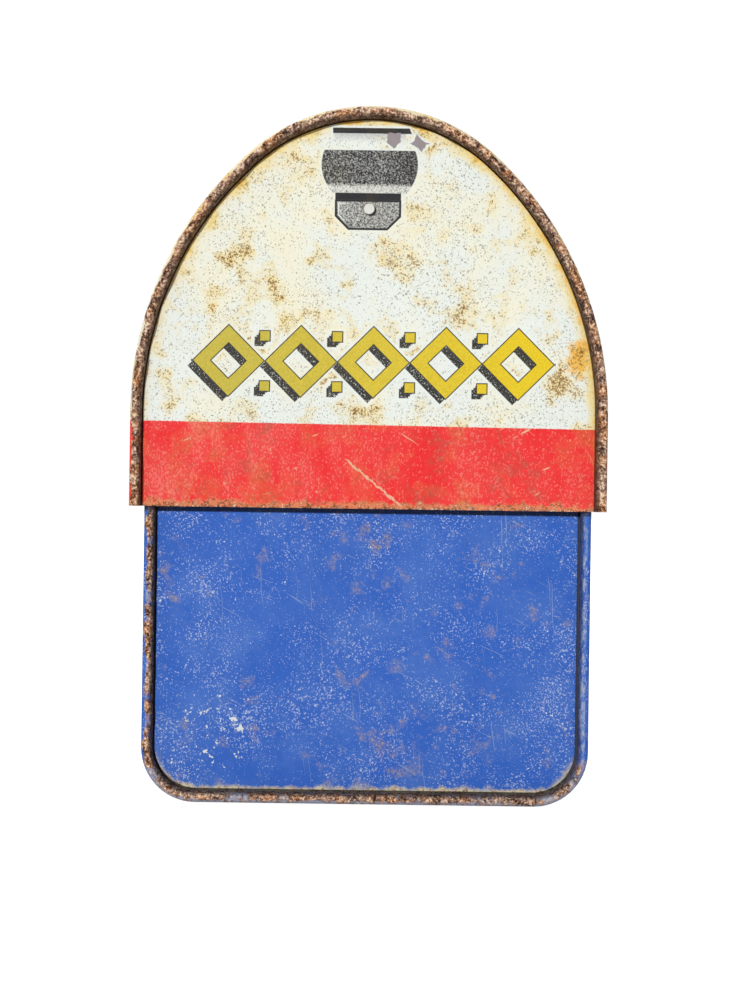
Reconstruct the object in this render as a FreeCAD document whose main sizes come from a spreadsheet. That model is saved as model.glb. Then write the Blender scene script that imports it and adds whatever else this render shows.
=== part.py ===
import FreeCAD, Part
import Sketcher
import os
import re
from math import cos, radians, sin

from FreeCAD import Placement, Rotation, Vector

# A small tin carry box printed as a street post box: a rectangular base tray and a tall domed lid.
# Both are tinplate sheets wrapped round two pressed end plates, locked together in a rolled seam.
# Frame: millimetres, +Z up, the box stands on Z = 0, its length runs along Y, the lid's hinge is on -X.

doc = FreeCAD.newDocument("PostBoxTin")

# ---------------------------------------------------------------- driving dimensions
SIZES = [
    # the box
    ("baseHalfWidth", 57.5, "outside of the base's side wall from the middle plane"),
    ("baseHeight", 86.0, "top edge of the base"),
    ("baseCornerRadius", 14.0, "outside radius of the base's bottom corners"),
    ("lidSideGap", 2.5, "air between the base's wall and the inside of the lid's wall"),
    ("lidBottom", 76.0, "height of the lid's lower edge"),
    ("springHeight", 100.0, "height where the lid's straight sides turn into the dome"),
    ("sideRadius", 88.7, "outside radius of the dome's flanks"),
    ("topHeight", 178.0, "height of the dome's ridge"),
    ("lidHalfLength", 112.5, "tip of the lid's rolled seam from the middle plane"),
    # sheet and seams
    ("sheet", 0.5, "thickness of the tinplate"),
    ("seamRadius", 1.3, "outside radius of the rolled seam's fold"),
    ("seamGap", 0.05, "air between the layers of the seam"),
    ("seamHook", 2.0, "length of the folded-back legs in the seam"),
    ("panelDepth", 4.0, "how far the end panels lie behind the seam's tip"),
    ("bendRadius", 0.6, "inside radius where an end panel turns into its flange"),
    ("panelLap", 0.45, "flat land of the flange piece that laps into the panel"),
    ("lidEndGap", 0.5, "air between the lid's end hem and the tip of the base's seam"),
    ("hemHeight", 5.0, "height of the flattened hems"),
    ("hemSetback", 6.0, "distance from a hem's end to the seam's tip"),
    # fasteners and hardware sheet
    ("plate", 0.8, "thickness of the riveted fittings"),
    ("rivetShank", 1.1, "radius"),
    ("rivetHead", 2.2, "radius"),
    ("rivetRise", 1.0, "height of the domed head"),
    ("rivetTail", 1.7, "radius of the clinched tail"),
    ("rivetTailRise", 0.6, "thickness of the clinched tail"),
    ("rivetPlay", 0.1, "radial air round a rivet's shank"),
    ("saddleSag", 0.05, "air under a rivet's tail where the dome curves away from it"),
    # lid hinges
    ("hingeSpacing", 48.0, "middle of each lid hinge from the middle plane"),
    ("hingeLength", 34.0, "length of a lid hinge"),
    ("knuckleRadius", 1.8, "outside radius of a hinge knuckle"),
    ("pinRadius", 1.0, "radius of a hinge pin"),
    ("pinPlay", 0.06, "radial air between pin and knuckle"),
    ("knuckleGap", 0.3, "air beside and round the other leaf's knuckles"),
    ("pinHead", 1.5, "radius of a pin's peened ends"),
    ("pinHeadRise", 0.7, "thickness of a pin's peened ends"),
    ("leafUp", 14.0, "reach of the lid's leaf above the hinge axis"),
    ("leafDown", 18.0, "reach of the base's leaf below the hinge axis"),
    ("leafRivetSpread", 9.0, "rivets from the middle of a leaf"),
    # hasp and catch
    ("haspWidth", 20.0, "width of the hasp and of its bracket"),
    ("haspAxisDrop", 4.5, "hasp axis above the lid's lower edge"),
    ("haspLength", 25.0, "hasp axis to the start of the thumb lip"),
    ("haspLip", 4.0, "length of the thumb lip"),
    ("haspBracketTop", 17.5, "reach of the bracket above the hasp axis"),
    ("windowWidth", 12.0, "width of the hasp's window"),
    ("windowTop", 8.5, "hasp axis to the window's upper edge"),
    ("windowBottom", 18.0, "hasp axis to the window's lower edge"),
    ("haspRest", 10.0, "degrees that the unsnapped hasp stands out"),
    ("noseWidth", 9.0, "width of the catch's nose"),
    ("noseReach", 7.0, "nose tip from the base's wall"),
    ("noseDrop", 17.5, "nose tip below the hasp axis"),
    ("catchWidth", 26.0, "width of the catch plate"),
    ("catchTop", 71.0, "top of the catch plate"),
    ("catchBottom", 52.0, "foot of the catch plate"),
    ("catchRivetSpread", 9.0, "rivets from the catch's middle"),
    # handle
    ("wireRadius", 1.6, "radius of the handle's wire"),
    ("wirePlay", 0.08, "radial air between the wire and the ear"),
    ("earSpacing", 56.0, "middle of each ear from the middle plane"),
    ("earThickness", 1.2, "thickness of an ear"),
    ("earRadius", 3.2, "outside radius of an ear"),
    ("earRise", 4.0, "handle axis above the dome's ridge"),
    ("bracketLength", 22.0, "length of a handle bracket along the ridge"),
    ("bracketHalfWidth", 9.0, "half the width of a handle bracket"),
    ("bracketCorner", 3.5, "legs of the cut across a bracket's outer corners"),
    ("handleReach", 22.0, "handle axis to the middle of the grip"),
    ("legSpacing", 50.0, "middle of each handle leg from the middle plane"),
    ("legBend", 4.0, "radius of the wire's bends"),
    ("gripHalfLength", 42.0, "half the length of the grip"),
    ("gripWidth", 13.0, "grip in the plane of the legs"),
    ("gripThickness", 11.0, "grip across the plane of the legs"),
    ("gripCollar", 7.0, "length of the collar at each end of the grip"),
    ("gripWaist", 0.86, "share of the collar's section that the bar between the collars has"),
    ("gripPlay", 0.05, "radial air between the grip and its wire"),
    ("gripAir", 1.0, "air between the folded grip and the dome"),
    # bottle clip inside the dome
    ("clipWire", 1.2, "radius of the bottle clip's wire"),
    ("clipHeight", 91.0, "height of the bottle clip's axis"),
    ("clipBack", 54.0, "clip axis behind the middle plane"),
    ("clipFront", 54.5, "front bar of the clip from the middle plane"),
    ("clipLegs", 52.0, "middle of each clip leg from the middle plane"),
    ("clipBend", 7.0, "radius of the clip's front corners"),
    ("clipEar", 57.0, "middle of each clip ear from the middle plane"),
    ("clipEarRadius", 2.8, "outside radius of a clip ear"),
    ("clipPlateHeight", 11.5, "height of a clip bracket's plate"),
    ("clipPlateWidth", 16.0, "width of a clip bracket's plate"),
]

size_sheet = doc.addObject("Spreadsheet::Sheet", "Size")
for row, (alias, value, note) in enumerate(SIZES, start=1):
    size_sheet.set("A%d" % row, alias)
    size_sheet.set("B%d" % row, str(value))
    size_sheet.set("C%d" % row, note)
    size_sheet.setAlias("B%d" % row, alias)
doc.recompute()
ALIASES = {alias for alias, value, note in SIZES}

# ---------------------------------------------------------------- worked-out sizes, as expressions
LID_HALF_WIDTH = "(baseHalfWidth + lidSideGap + sheet)"
DOME_RISE = "(topHeight - springHeight)"
CROWN_RADIUS = (
    f"(({LID_HALF_WIDTH}^2 + {DOME_RISE}^2 - 2 * {LID_HALF_WIDTH} * sideRadius)"
    f" / (2 * ({DOME_RISE} - sideRadius)))"
)
# The base's seam tips stop short of the lid's end plates, hem included.
BASE_HALF_LENGTH = "(lidHalfLength - panelDepth - 2 * sheet - lidEndGap)"
HOOK_OUTER = "(seamRadius - sheet - seamGap)"
HOOK_INNER = "(seamRadius - 2 * sheet - seamGap)"
PANEL_INSET = "(seamRadius + seamRadius - sheet - seamGap + bendRadius + panelLap)"
HINGE_X = f"({LID_HALF_WIDTH} + knuckleRadius + knuckleGap)"
HINGE_Z = "lidBottom"
HASP_X = f"({LID_HALF_WIDTH} + plate + knuckleRadius - sheet)"
HASP_Z = "(lidBottom + haspAxisDrop)"
HANDLE_Z = "(topHeight + earRise)"


def bound(text):
    """The expression with each size's name pointing at the spreadsheet."""
    return re.sub(
        r"[A-Za-z]\w*",
        lambda m: "Size." + m.group(0) if m.group(0) in ALIASES else m.group(0),
        str(text),
    )


def number(text):
    """The value that an expression has now, in millimetres."""
    return float(size_sheet.evalExpression(bound(text)))


def bind(thing, prop, text):
    """Ties a property of an object to the spreadsheet."""
    thing.setExpression(prop, bound(text))


# ---------------------------------------------------------------- sketches
def new_body(label):
    """An empty body with the name of its sub-part."""
    body = doc.addObject("PartDesign::Body", label)
    body.Label = label
    return body


def origin_plane(body, role):
    """One of the body's own origin planes."""
    return next(f for f in body.Origin.OriginFeatures if f.Role == role)


def new_sketch(body, name, plane, offset="0"):
    """A sketch on an origin plane, moved along that plane's normal by the offset."""
    sketch = body.newObject("Sketcher::SketchObject", name)
    sketch.AttachmentSupport = [(origin_plane(body, plane), "")]
    sketch.MapMode = "FlatFace"
    bind(sketch, "AttachmentOffset.Base.z", offset)
    return sketch


def hold(sketch, kind, geometry, spot, text):
    """Fixes one coordinate of a sketch point to an expression."""
    index = sketch.addConstraint(
        Sketcher.Constraint(kind, -1, 1, geometry, spot, number(text))
    )
    bind(sketch, "Constraints[%d]" % index, text)


def draw(sketch, points, arcs=None, closed=True):
    """Draws an outline through points given as expressions. arcs maps the number of a segment
    to its centre and turning sense: +1 runs anticlockwise from its first point to its second."""
    arcs = arcs or {}
    spots = [Vector(number(u), number(v), 0) for u, v in points]
    count = len(points) if closed else len(points) - 1
    first = sketch.GeometryCount
    ends = []
    for i in range(count):
        a, b = spots[i], spots[(i + 1) % len(spots)]
        if i in arcs:
            cu, cv, sense = arcs[i]
            centre = Vector(number(cu), number(cv), 0)
            start, stop = (a, b) if sense > 0 else (b, a)
            circle = Part.Circle(centre, Vector(0, 0, 1), (start - centre).Length)
            turn = Part.ArcOfCircle(circle, circle.parameter(start), circle.parameter(stop))
            sketch.addGeometry(turn, False)
            ends.append((1, 2) if sense > 0 else (2, 1))
        else:
            sketch.addGeometry(Part.LineSegment(a, b), False)
            ends.append((1, 2))
    for i in range(count):
        following = (i + 1) % count
        if closed or i + 1 < count:
            sketch.addConstraint(
                Sketcher.Constraint(
                    "Coincident", first + i, ends[i][1], first + following, ends[following][0]
                )
            )
        hold(sketch, "DistanceX", first + i, ends[i][0], points[i][0])
        hold(sketch, "DistanceY", first + i, ends[i][0], points[i][1])
    if not closed:
        hold(sketch, "DistanceX", first + count - 1, ends[-1][1], points[-1][0])
        hold(sketch, "DistanceY", first + count - 1, ends[-1][1], points[-1][1])
    for i, (cu, cv, sense) in arcs.items():
        chord = spots[(i + 1) % len(spots)] - spots[i]
        if abs(chord.x) > abs(chord.y):
            hold(sketch, "DistanceY", first + i, 3, cv)
        else:
            hold(sketch, "DistanceX", first + i, 3, cu)
    return sketch


def draw_circle(sketch, u, v, radius):
    """Draws one circle whose place and radius are expressions."""
    centre = Vector(number(u), number(v), 0)
    circle = Part.Circle(centre, Vector(0, 0, 1), number(radius))
    index = sketch.addGeometry(circle, False)
    hold(sketch, "DistanceX", index, 3, u)
    hold(sketch, "DistanceY", index, 3, v)
    ring = sketch.addConstraint(Sketcher.Constraint("Radius", index, number(radius)))
    bind(sketch, "Constraints[%d]" % ring, radius)
    return sketch


def draw_box(sketch, low_u, low_v, high_u, high_v):
    """Draws a rectangle between two corners."""
    corners = [(low_u, low_v), (high_u, low_v), (high_u, high_v), (low_u, high_v)]
    return draw(sketch, corners)


def pad(body, sketch, length, reverse=False, middle=False):
    """Adds a sketch's prism to a body."""
    feature = body.newObject("PartDesign::Pad", sketch.Name + "_pad")
    feature.Profile = sketch
    bind(feature, "Length", length)
    feature.Reversed = reverse
    feature.Midplane = middle
    return feature


def cut(body, sketch, length, reverse=False, middle=False):
    """Takes a sketch's prism from a body, and stops if nothing was taken."""
    doc.recompute()
    before = body.Shape.Volume
    feature = body.newObject("PartDesign::Pocket", sketch.Name + "_cut")
    feature.Profile = sketch
    bind(feature, "Length", length)
    feature.Reversed = reverse
    feature.Midplane = middle
    doc.recompute()
    if body.Shape.Volume >= before - 1e-6:
        raise ValueError("nothing was cut by " + feature.Name)
    return feature


def pipe(body, section, spine):
    """Sweeps a section sketch along a spine sketch."""
    feature = body.newObject("PartDesign::AdditivePipe", section.Name + "_pipe")
    feature.Profile = section
    feature.Spine = spine
    return feature


# ---------------------------------------------------------------- the two outlines of the box
def base_outline(inset, foot="0"):
    """The base's open U, drawn a distance inside its outer surface, from left mouth to right mouth."""
    side = f"(baseHalfWidth - ({inset}))"
    middle = "(baseHalfWidth - baseCornerRadius)"
    points = [
        (f"-{side}", "baseHeight"),
        (f"-{side}", "baseCornerRadius"),
        (f"-{middle}", inset),
        (middle, inset),
        (side, "baseCornerRadius"),
        (side, "baseHeight"),
    ]
    arcs = {1: (f"-{middle}", "baseCornerRadius", 1), 3: (middle, "baseCornerRadius", 1)}
    return points, arcs


def lid_outline(inset):
    """The lid's arch, drawn a distance inside its outer surface, from left foot to right foot."""
    side = f"({LID_HALF_WIDTH} - ({inset}))"
    lean = f"(sideRadius - {LID_HALF_WIDTH})"
    share = f"((sideRadius - ({inset})) / (sideRadius - {CROWN_RADIUS}))"
    shoulder_x = f"({lean} * ({share} - 1))"
    shoulder_z = f"(springHeight + ({DOME_RISE} - {CROWN_RADIUS}) * {share})"
    crown_z = f"(topHeight - {CROWN_RADIUS})"
    points = [
        (f"-{side}", "lidBottom"),
        (f"-{side}", "springHeight"),
        (f"-{shoulder_x}", shoulder_z),
        (shoulder_x, shoulder_z),
        (side, "springHeight"),
        (side, "lidBottom"),
    ]
    arcs = {1: (lean, "springHeight", -1), 2: ("0", crown_z, -1), 3: (f"-{lean}", "springHeight", -1)}
    return points, arcs


# ---------------------------------------------------------------- wrapped sheets and end plates
def wrapped_sheet(label, outline, half_width, mouth, half_length):
    """A tinplate sheet bent round the box's outline, with a hook rolled inwards at both ends."""
    body = new_body(label)
    spine = new_sketch(body, label + "_spine", "XZ_Plane")
    points, arcs = outline("0")
    draw(spine, points, arcs, closed=False)
    section = new_sketch(body, label + "_section", "XY_Plane", mouth)
    wall = f"-{half_width}"
    inner = f"({wall} + sheet)"
    fold = f"({wall} + seamRadius)"
    leg = f"({wall} + 2 * seamRadius - sheet)"
    back = f"({wall} + 2 * seamRadius)"
    turn = f"({half_length} - seamRadius)"
    end = f"({turn} - seamHook)"
    points = [
        (wall, f"-{turn}"),
        (back, f"-{turn}"),
        (back, f"-{end}"),
        (leg, f"-{end}"),
        (leg, f"-{turn}"),
        (inner, f"-{turn}"),
        (inner, turn),
        (leg, turn),
        (leg, end),
        (back, end),
        (back, turn),
        (wall, turn),
    ]
    arcs = {
        0: (fold, f"-{turn}", 1),
        4: (fold, f"-{turn}", -1),
        6: (fold, turn, -1),
        10: (fold, turn, 1),
    }
    draw(section, points, arcs)
    pipe(body, section, spine)
    return body


def side_hems(body, half_width, low, high, half_length):
    """Flattened hems along both mouth edges, turned inwards and closed against the wall."""
    sketch = new_sketch(body, body.Label + "_hems", "XZ_Plane")
    outer = f"({half_width} - sheet / 2)"
    inner = f"({half_width} - 2 * sheet - seamGap)"
    draw_box(sketch, f"-{outer}", low, f"-{inner}", high)
    draw_box(sketch, inner, low, outer, high)
    pad(body, sketch, f"2 * ({half_length} - hemSetback)", middle=True)


def end_plate(label, outline, half_width, mouth, half_length, side, hem_low, hem_high):
    """A pressed end plate: a flat panel, a flange turned outwards and its edge folded back over
    itself, so that it locks inside the sheet's hook. side is -1 for the front and +1 for the rear."""
    body = new_body(label)
    spine = new_sketch(body, label + "_spine", "XZ_Plane")
    points, arcs = outline("0")
    draw(spine, points, arcs, closed=False)
    section = new_sketch(body, label + "_section", "XY_Plane", mouth)

    def at(depth, back):
        """A point of the section from its depth in the wall and its distance behind the tip."""
        return (f"(-{half_width} + {depth})", f"{side} * ({half_length} - ({back}))")

    flange_out = f"(seamRadius + {HOOK_INNER})"
    flange_in = f"(seamRadius + {HOOK_OUTER})"
    bend = f"({flange_in} + bendRadius)"
    turn = "seamRadius"
    bend_back = "(panelDepth - bendRadius)"
    points = [
        at(PANEL_INSET, "panelDepth"),
        at(bend, "panelDepth"),
        at(flange_in, bend_back),
        at(flange_in, turn),
        at(f"(seamRadius - {HOOK_OUTER})", turn),
        at(f"(seamRadius - {HOOK_OUTER})", f"{turn} + seamHook"),
        at(f"(seamRadius - {HOOK_INNER})", f"{turn} + seamHook"),
        at(f"(seamRadius - {HOOK_INNER})", turn),
        at(flange_out, turn),
        at(flange_out, bend_back),
        at(bend, "panelDepth + sheet"),
        at(PANEL_INSET, "panelDepth + sheet"),
    ]
    arcs = {
        1: (*at(bend, bend_back), side * -1),
        3: (*at("seamRadius", turn), side),
        7: (*at("seamRadius", turn), side * -1),
        9: (*at(bend, bend_back), side),
    }
    draw(section, points, arcs)
    pipe(body, section, spine)
    # An XZ sketch faces -Y, so its offset is minus the place along Y.
    panel = new_sketch(
        body, label + "_panel", "XZ_Plane", f"{-side} * ({half_length} - panelDepth - sheet)"
    )
    points, arcs = outline(f"({PANEL_INSET} - panelLap / 2)")
    draw(panel, points, arcs)
    pad(body, panel, "sheet", reverse=side > 0)
    hem = new_sketch(
        body, label + "_hem", "XZ_Plane", f"{-side} * ({half_length} - panelDepth - 2 * sheet)"
    )
    reach = f"({half_width} - hemSetback)"
    draw_box(hem, f"-{reach}", hem_low, reach, hem_high)
    pad(body, hem, "sheet * 1.5", reverse=side > 0)
    return body


def rivet_holes(body, name, plane, offset, length, spots, reverse):
    """Clearance holes for a group of rivets, through one wall."""
    sketch = new_sketch(body, name, plane, offset)
    for u, v in spots:
        draw_circle(sketch, u, v, "rivetShank + rivetPlay")
    cut(body, sketch, length, reverse=reverse)


# ---------------------------------------------------------------- rivet places, on the walls they hold
def pairs(middle, spread, height):
    """Two rivets at one height, either side of a middle."""
    return [(f"({middle}) - ({spread})", height), (f"({middle}) + ({spread})", height)]


HINGE_MIDDLES = ("-hingeSpacing", "hingeSpacing")
LID_LEAF_RIVETS = [
    spot
    for middle in HINGE_MIDDLES
    for spot in pairs(middle, "leafRivetSpread", f"{HINGE_Z} + leafUp - 2 * rivetHead")
]
BASE_LEAF_RIVETS = [
    spot
    for middle in HINGE_MIDDLES
    for spot in pairs(middle, "leafRivetSpread", f"{HINGE_Z} - leafDown + 2 * rivetHead")
]
CATCH_RIVETS = pairs("0", "catchRivetSpread", "catchBottom + 2 * rivetHead")
HASP_RIVETS = pairs("0", "haspWidth / 4 + rivetShank", f"{HASP_Z} + haspBracketTop - 2 * rivetHead")
CLIP_RIVET_HEIGHT = "(clipHeight + clipPlateHeight - clipEarRadius - 1.5 * rivetHead)"
CLIP_RIVETS = [
    (f"{sign} * (clipEar + clipPlateWidth * {share})", CLIP_RIVET_HEIGHT)
    for sign in (-1, 1)
    for share in (0.3, 0.72)
]
HANDLE_RIVETS = [
    ("0", f"{sign} * (earSpacing + bracketLength * {share})")
    for sign in (-1, 1)
    for share in (0.35, 0.75)
]

# ---------------------------------------------------------------- base
base_barrel = wrapped_sheet(
    "base_barrel", base_outline, "baseHalfWidth", "baseHeight", BASE_HALF_LENGTH
)
side_hems(
    base_barrel, "baseHalfWidth", "baseHeight - hemHeight", "baseHeight", BASE_HALF_LENGTH
)
# A YZ sketch faces +X. Each cut starts outside the wall and ends just inside it.
rivet_holes(
    base_barrel, "base_hinge_holes", "YZ_Plane", "-(baseHalfWidth + 1)", "sheet + 2", BASE_LEAF_RIVETS, True
)
rivet_holes(
    base_barrel, "catch_holes", "YZ_Plane", "baseHalfWidth + 1", "sheet + 2", CATCH_RIVETS, False
)
for name, side in (("base_end_front", -1), ("base_end_rear", 1)):
    end_plate(
        name, base_outline, "baseHalfWidth", "baseHeight", BASE_HALF_LENGTH, side,
        "baseHeight - hemHeight", "baseHeight",
    )

# ---------------------------------------------------------------- lid
lid_barrel = wrapped_sheet(
    "lid_barrel", lid_outline, LID_HALF_WIDTH, "lidBottom", "lidHalfLength"
)
side_hems(lid_barrel, LID_HALF_WIDTH, "lidBottom", "lidBottom + hemHeight", "lidHalfLength")
rivet_holes(
    lid_barrel, "lid_hinge_holes", "YZ_Plane", f"-({LID_HALF_WIDTH} + 1)", "sheet + 2",
    LID_LEAF_RIVETS + CLIP_RIVETS, True,
)
rivet_holes(
    lid_barrel, "hasp_holes", "YZ_Plane", f"{LID_HALF_WIDTH} + 1", "sheet + 2", HASP_RIVETS, False
)
rivet_holes(
    lid_barrel, "handle_holes", "XY_Plane", "topHeight + 1", "sheet + 2", HANDLE_RIVETS, False
)
for name, side in (("lid_end_front", -1), ("lid_end_rear", 1)):
    end_plate(
        name, lid_outline, LID_HALF_WIDTH, "lidBottom", "lidHalfLength", side,
        "lidBottom", "lidBottom + hemHeight",
    )


# ---------------------------------------------------------------- leaf hinges
def knuckled_leaf(label, strip, axis_x, axis_z, middle, length, own_first, spots, wall_x, knuckles):
    """A riveted leaf with a row of knuckles. strip is the leaf's cross-section; own_first says
    whether this leaf holds the first knuckle of the row or the second."""
    body = new_body(label)
    # An XZ sketch faces -Y, so the row starts at the far end and grows towards -Y.
    start = f"-(({middle}) + {length} / 2)"
    profile = new_sketch(body, label + "_strip", "XZ_Plane", start)
    draw(profile, strip)
    pad(body, profile, length)
    roll = new_sketch(body, label + "_roll", "XZ_Plane", start)
    draw_circle(roll, axis_x, axis_z, "knuckleRadius")
    pad(body, roll, length)
    bore = new_sketch(body, label + "_bore", "XZ_Plane", start)
    draw_circle(bore, axis_x, axis_z, "pinRadius + pinPlay")
    cut(body, bore, length, reverse=True)
    pitch = f"({length} / {knuckles})"
    for i in range(1 if own_first else 0, knuckles, 2):
        # The other leaf's knuckle turns in this gap, which is a little longer than it on each side.
        low = f"{start} + {i} * {pitch} - knuckleGap / 2"
        gap = new_sketch(body, "%s_gap_%d" % (label, i), "XZ_Plane", low)
        draw_circle(gap, axis_x, axis_z, "knuckleRadius + knuckleGap")
        cut(body, gap, f"{pitch} + knuckleGap", reverse=True)
    holes = new_sketch(body, label + "_holes", "YZ_Plane", wall_x)
    for u, v in spots:
        draw_circle(holes, u, v, "rivetShank + rivetPlay")
    cut(body, holes, "4 * plate", middle=True)
    return body


def hinge_pin(label, axis_x, axis_z, middle, length):
    """A hinge pin with both ends peened over."""
    body = new_body(label)
    ends = f"({length} / 2 + knuckleGap)"
    shank = new_sketch(body, label + "_shank", "XZ_Plane", f"-(({middle}) - {ends})")
    draw_circle(shank, axis_x, axis_z, "pinRadius")
    pad(body, shank, f"2 * {ends}", reverse=True)
    for tag, sign in (("near", -1), ("far", 1)):
        head = new_sketch(body, f"{label}_{tag}", "XZ_Plane", f"-(({middle}) + {sign} * {ends})")
        draw_circle(head, axis_x, axis_z, "pinHead")
        pad(body, head, "pinHeadRise", reverse=sign > 0)
    return body


def wall_strip(sign, wall, axis_x, axis_z, far, inward):
    """The section of a leaf that lies flat on a wall and runs into the knuckle beside it."""
    outer = f"({wall} + plate)"
    near = f"({axis_z} + {inward} * knuckleRadius / 2)"
    points = [
        (f"{sign} * {wall}", far),
        (f"{sign} * {wall}", f"({axis_z} + {inward} * knuckleRadius)"),
        (f"{sign} * ({axis_x} - knuckleRadius * 0.8)", near),
        (f"{sign} * ({axis_x} - knuckleRadius * 0.45)", near),
        (f"{sign} * {outer}", f"({axis_z} + {inward} * knuckleRadius * 1.4)"),
        (f"{sign} * {outer}", far),
    ]
    return points


def joggled_strip(wall, axis_x, axis_z, far):
    """The base leaf's section: flat on the base's wall, then stepped out under the lid's edge."""
    outer = f"({wall} + plate)"
    step = f"({axis_z} - knuckleGap - ({axis_x} - {wall}))"
    points = [
        (f"-{wall}", far),
        (f"-{wall}", f"({step} + plate / 2)"),
        (f"-({axis_x} - knuckleRadius * 0.75)", f"({axis_z} - knuckleRadius * 0.6)"),
        (f"-({axis_x} - knuckleRadius * 0.3)", f"({axis_z} - knuckleRadius * 0.7)"),
        (f"-{outer}", step),
        (f"-{outer}", far),
    ]
    return points


for letter, middle in zip("ab", HINGE_MIDDLES):
    knuckled_leaf(
        f"hinge_{letter}_base_leaf",
        joggled_strip("baseHalfWidth", HINGE_X, HINGE_Z, f"{HINGE_Z} - leafDown"),
        f"-{HINGE_X}", HINGE_Z, middle, "hingeLength", True,
        pairs(middle, "leafRivetSpread", f"{HINGE_Z} - leafDown + 2 * rivetHead"),
        "-baseHalfWidth", 5,
    )
    knuckled_leaf(
        f"hinge_{letter}_lid_leaf",
        wall_strip(-1, LID_HALF_WIDTH, HINGE_X, HINGE_Z, f"{HINGE_Z} + leafUp", 1),
        f"-{HINGE_X}", HINGE_Z, middle, "hingeLength", False,
        pairs(middle, "leafRivetSpread", f"{HINGE_Z} + leafUp - 2 * rivetHead"),
        f"-{LID_HALF_WIDTH}", 5,
    )
    hinge_pin(f"hinge_{letter}_pin", f"-{HINGE_X}", HINGE_Z, middle, "hingeLength")

# ---------------------------------------------------------------- hasp, its bracket, pin and catch
knuckled_leaf(
    "hasp_bracket",
    wall_strip(1, LID_HALF_WIDTH, HASP_X, HASP_Z, f"{HASP_Z} + haspBracketTop", 1),
    HASP_X, HASP_Z, "0", "haspWidth", True, HASP_RIVETS, LID_HALF_WIDTH, 3,
)
hinge_pin("hasp_pin", HASP_X, HASP_Z, "0", "haspWidth")


def make_hasp():
    """The hasp: a strap with a window and a thumb lip, drawn hanging straight down from its axis
    at the body's origin, then swung out to where it rests on the catch's nose."""
    body = new_body("hasp")
    strap = new_sketch(body, "hasp_strap", "XZ_Plane")
    lip_x = "(plate / 2 + haspLip * 0.5)"
    lip_z = "(-haspLength - haspLip * 0.85)"
    points = [
        ("-plate / 2", "-knuckleRadius * 0.8"),
        ("-plate / 2", "-haspLength"),
        (f"({lip_x} - plate)", lip_z),
        (lip_x, f"{lip_z} + plate / 2"),
        ("plate / 2", "-haspLength + plate / 4"),
        ("plate / 2", "-knuckleRadius * 0.8"),
    ]
    draw(strap, points)
    pad(body, strap, "haspWidth", middle=True)
    roll = new_sketch(body, "hasp_roll", "XZ_Plane")
    draw_circle(roll, "0", "0", "knuckleRadius")
    pad(body, roll, "haspWidth / 3 - knuckleGap", middle=True)
    bore = new_sketch(body, "hasp_bore", "XZ_Plane")
    draw_circle(bore, "0", "0", "pinRadius + pinPlay")
    cut(body, bore, "haspWidth", middle=True)
    # The strap's shoulders clear the bracket's two knuckles.
    for tag, sign in (("near", -1), ("far", 1)):
        gap = new_sketch(body, "hasp_gap_" + tag, "XZ_Plane", f"{sign} * (haspWidth / 6 - knuckleGap / 2)")
        draw_circle(gap, "0", "0", "knuckleRadius + knuckleGap")
        cut(body, gap, "haspWidth / 2", reverse=sign > 0)
    window = new_sketch(body, "hasp_window", "YZ_Plane")
    draw_box(window, "-windowWidth / 2", "-windowBottom", "windowWidth / 2", "-windowTop")
    cut(body, window, "4 * plate", middle=True)
    bind(body, "Placement.Base.x", HASP_X)
    bind(body, "Placement.Base.z", HASP_Z)
    body.Placement.Rotation = Rotation(Vector(0, -1, 0), number("haspRest"))
    return body


make_hasp()


def make_catch():
    """The catch: a riveted plate with a wedge nose that stands out through the hasp's window."""
    body = new_body("catch")
    plate = new_sketch(body, "catch_plate", "YZ_Plane", "baseHalfWidth")
    draw_box(plate, "-catchWidth / 2", "catchBottom", "catchWidth / 2", "catchTop")
    pad(body, plate, "plate")
    nose = new_sketch(body, "catch_nose", "XZ_Plane")
    root = "(baseHalfWidth + plate / 2)"
    tip = "(baseHalfWidth + noseReach)"
    under = f"({HASP_Z} - noseDrop)"
    points = [
        (root, f"{under} + 1.5 * plate"),
        (f"({tip} - plate)", under),
        (tip, f"{under} + plate / 2"),
        (tip, f"{under} + 1.5 * plate"),
        (root, f"{HASP_Z} - windowTop - 2 * plate"),
    ]
    draw(nose, points)
    pad(body, nose, "noseWidth", middle=True)
    holes = new_sketch(body, "catch_rivet_holes", "YZ_Plane", "baseHalfWidth")
    for u, v in CATCH_RIVETS:
        draw_circle(holes, u, v, "rivetShank + rivetPlay")
    cut(body, holes, "4 * plate", middle=True)
    return body


make_catch()


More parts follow.
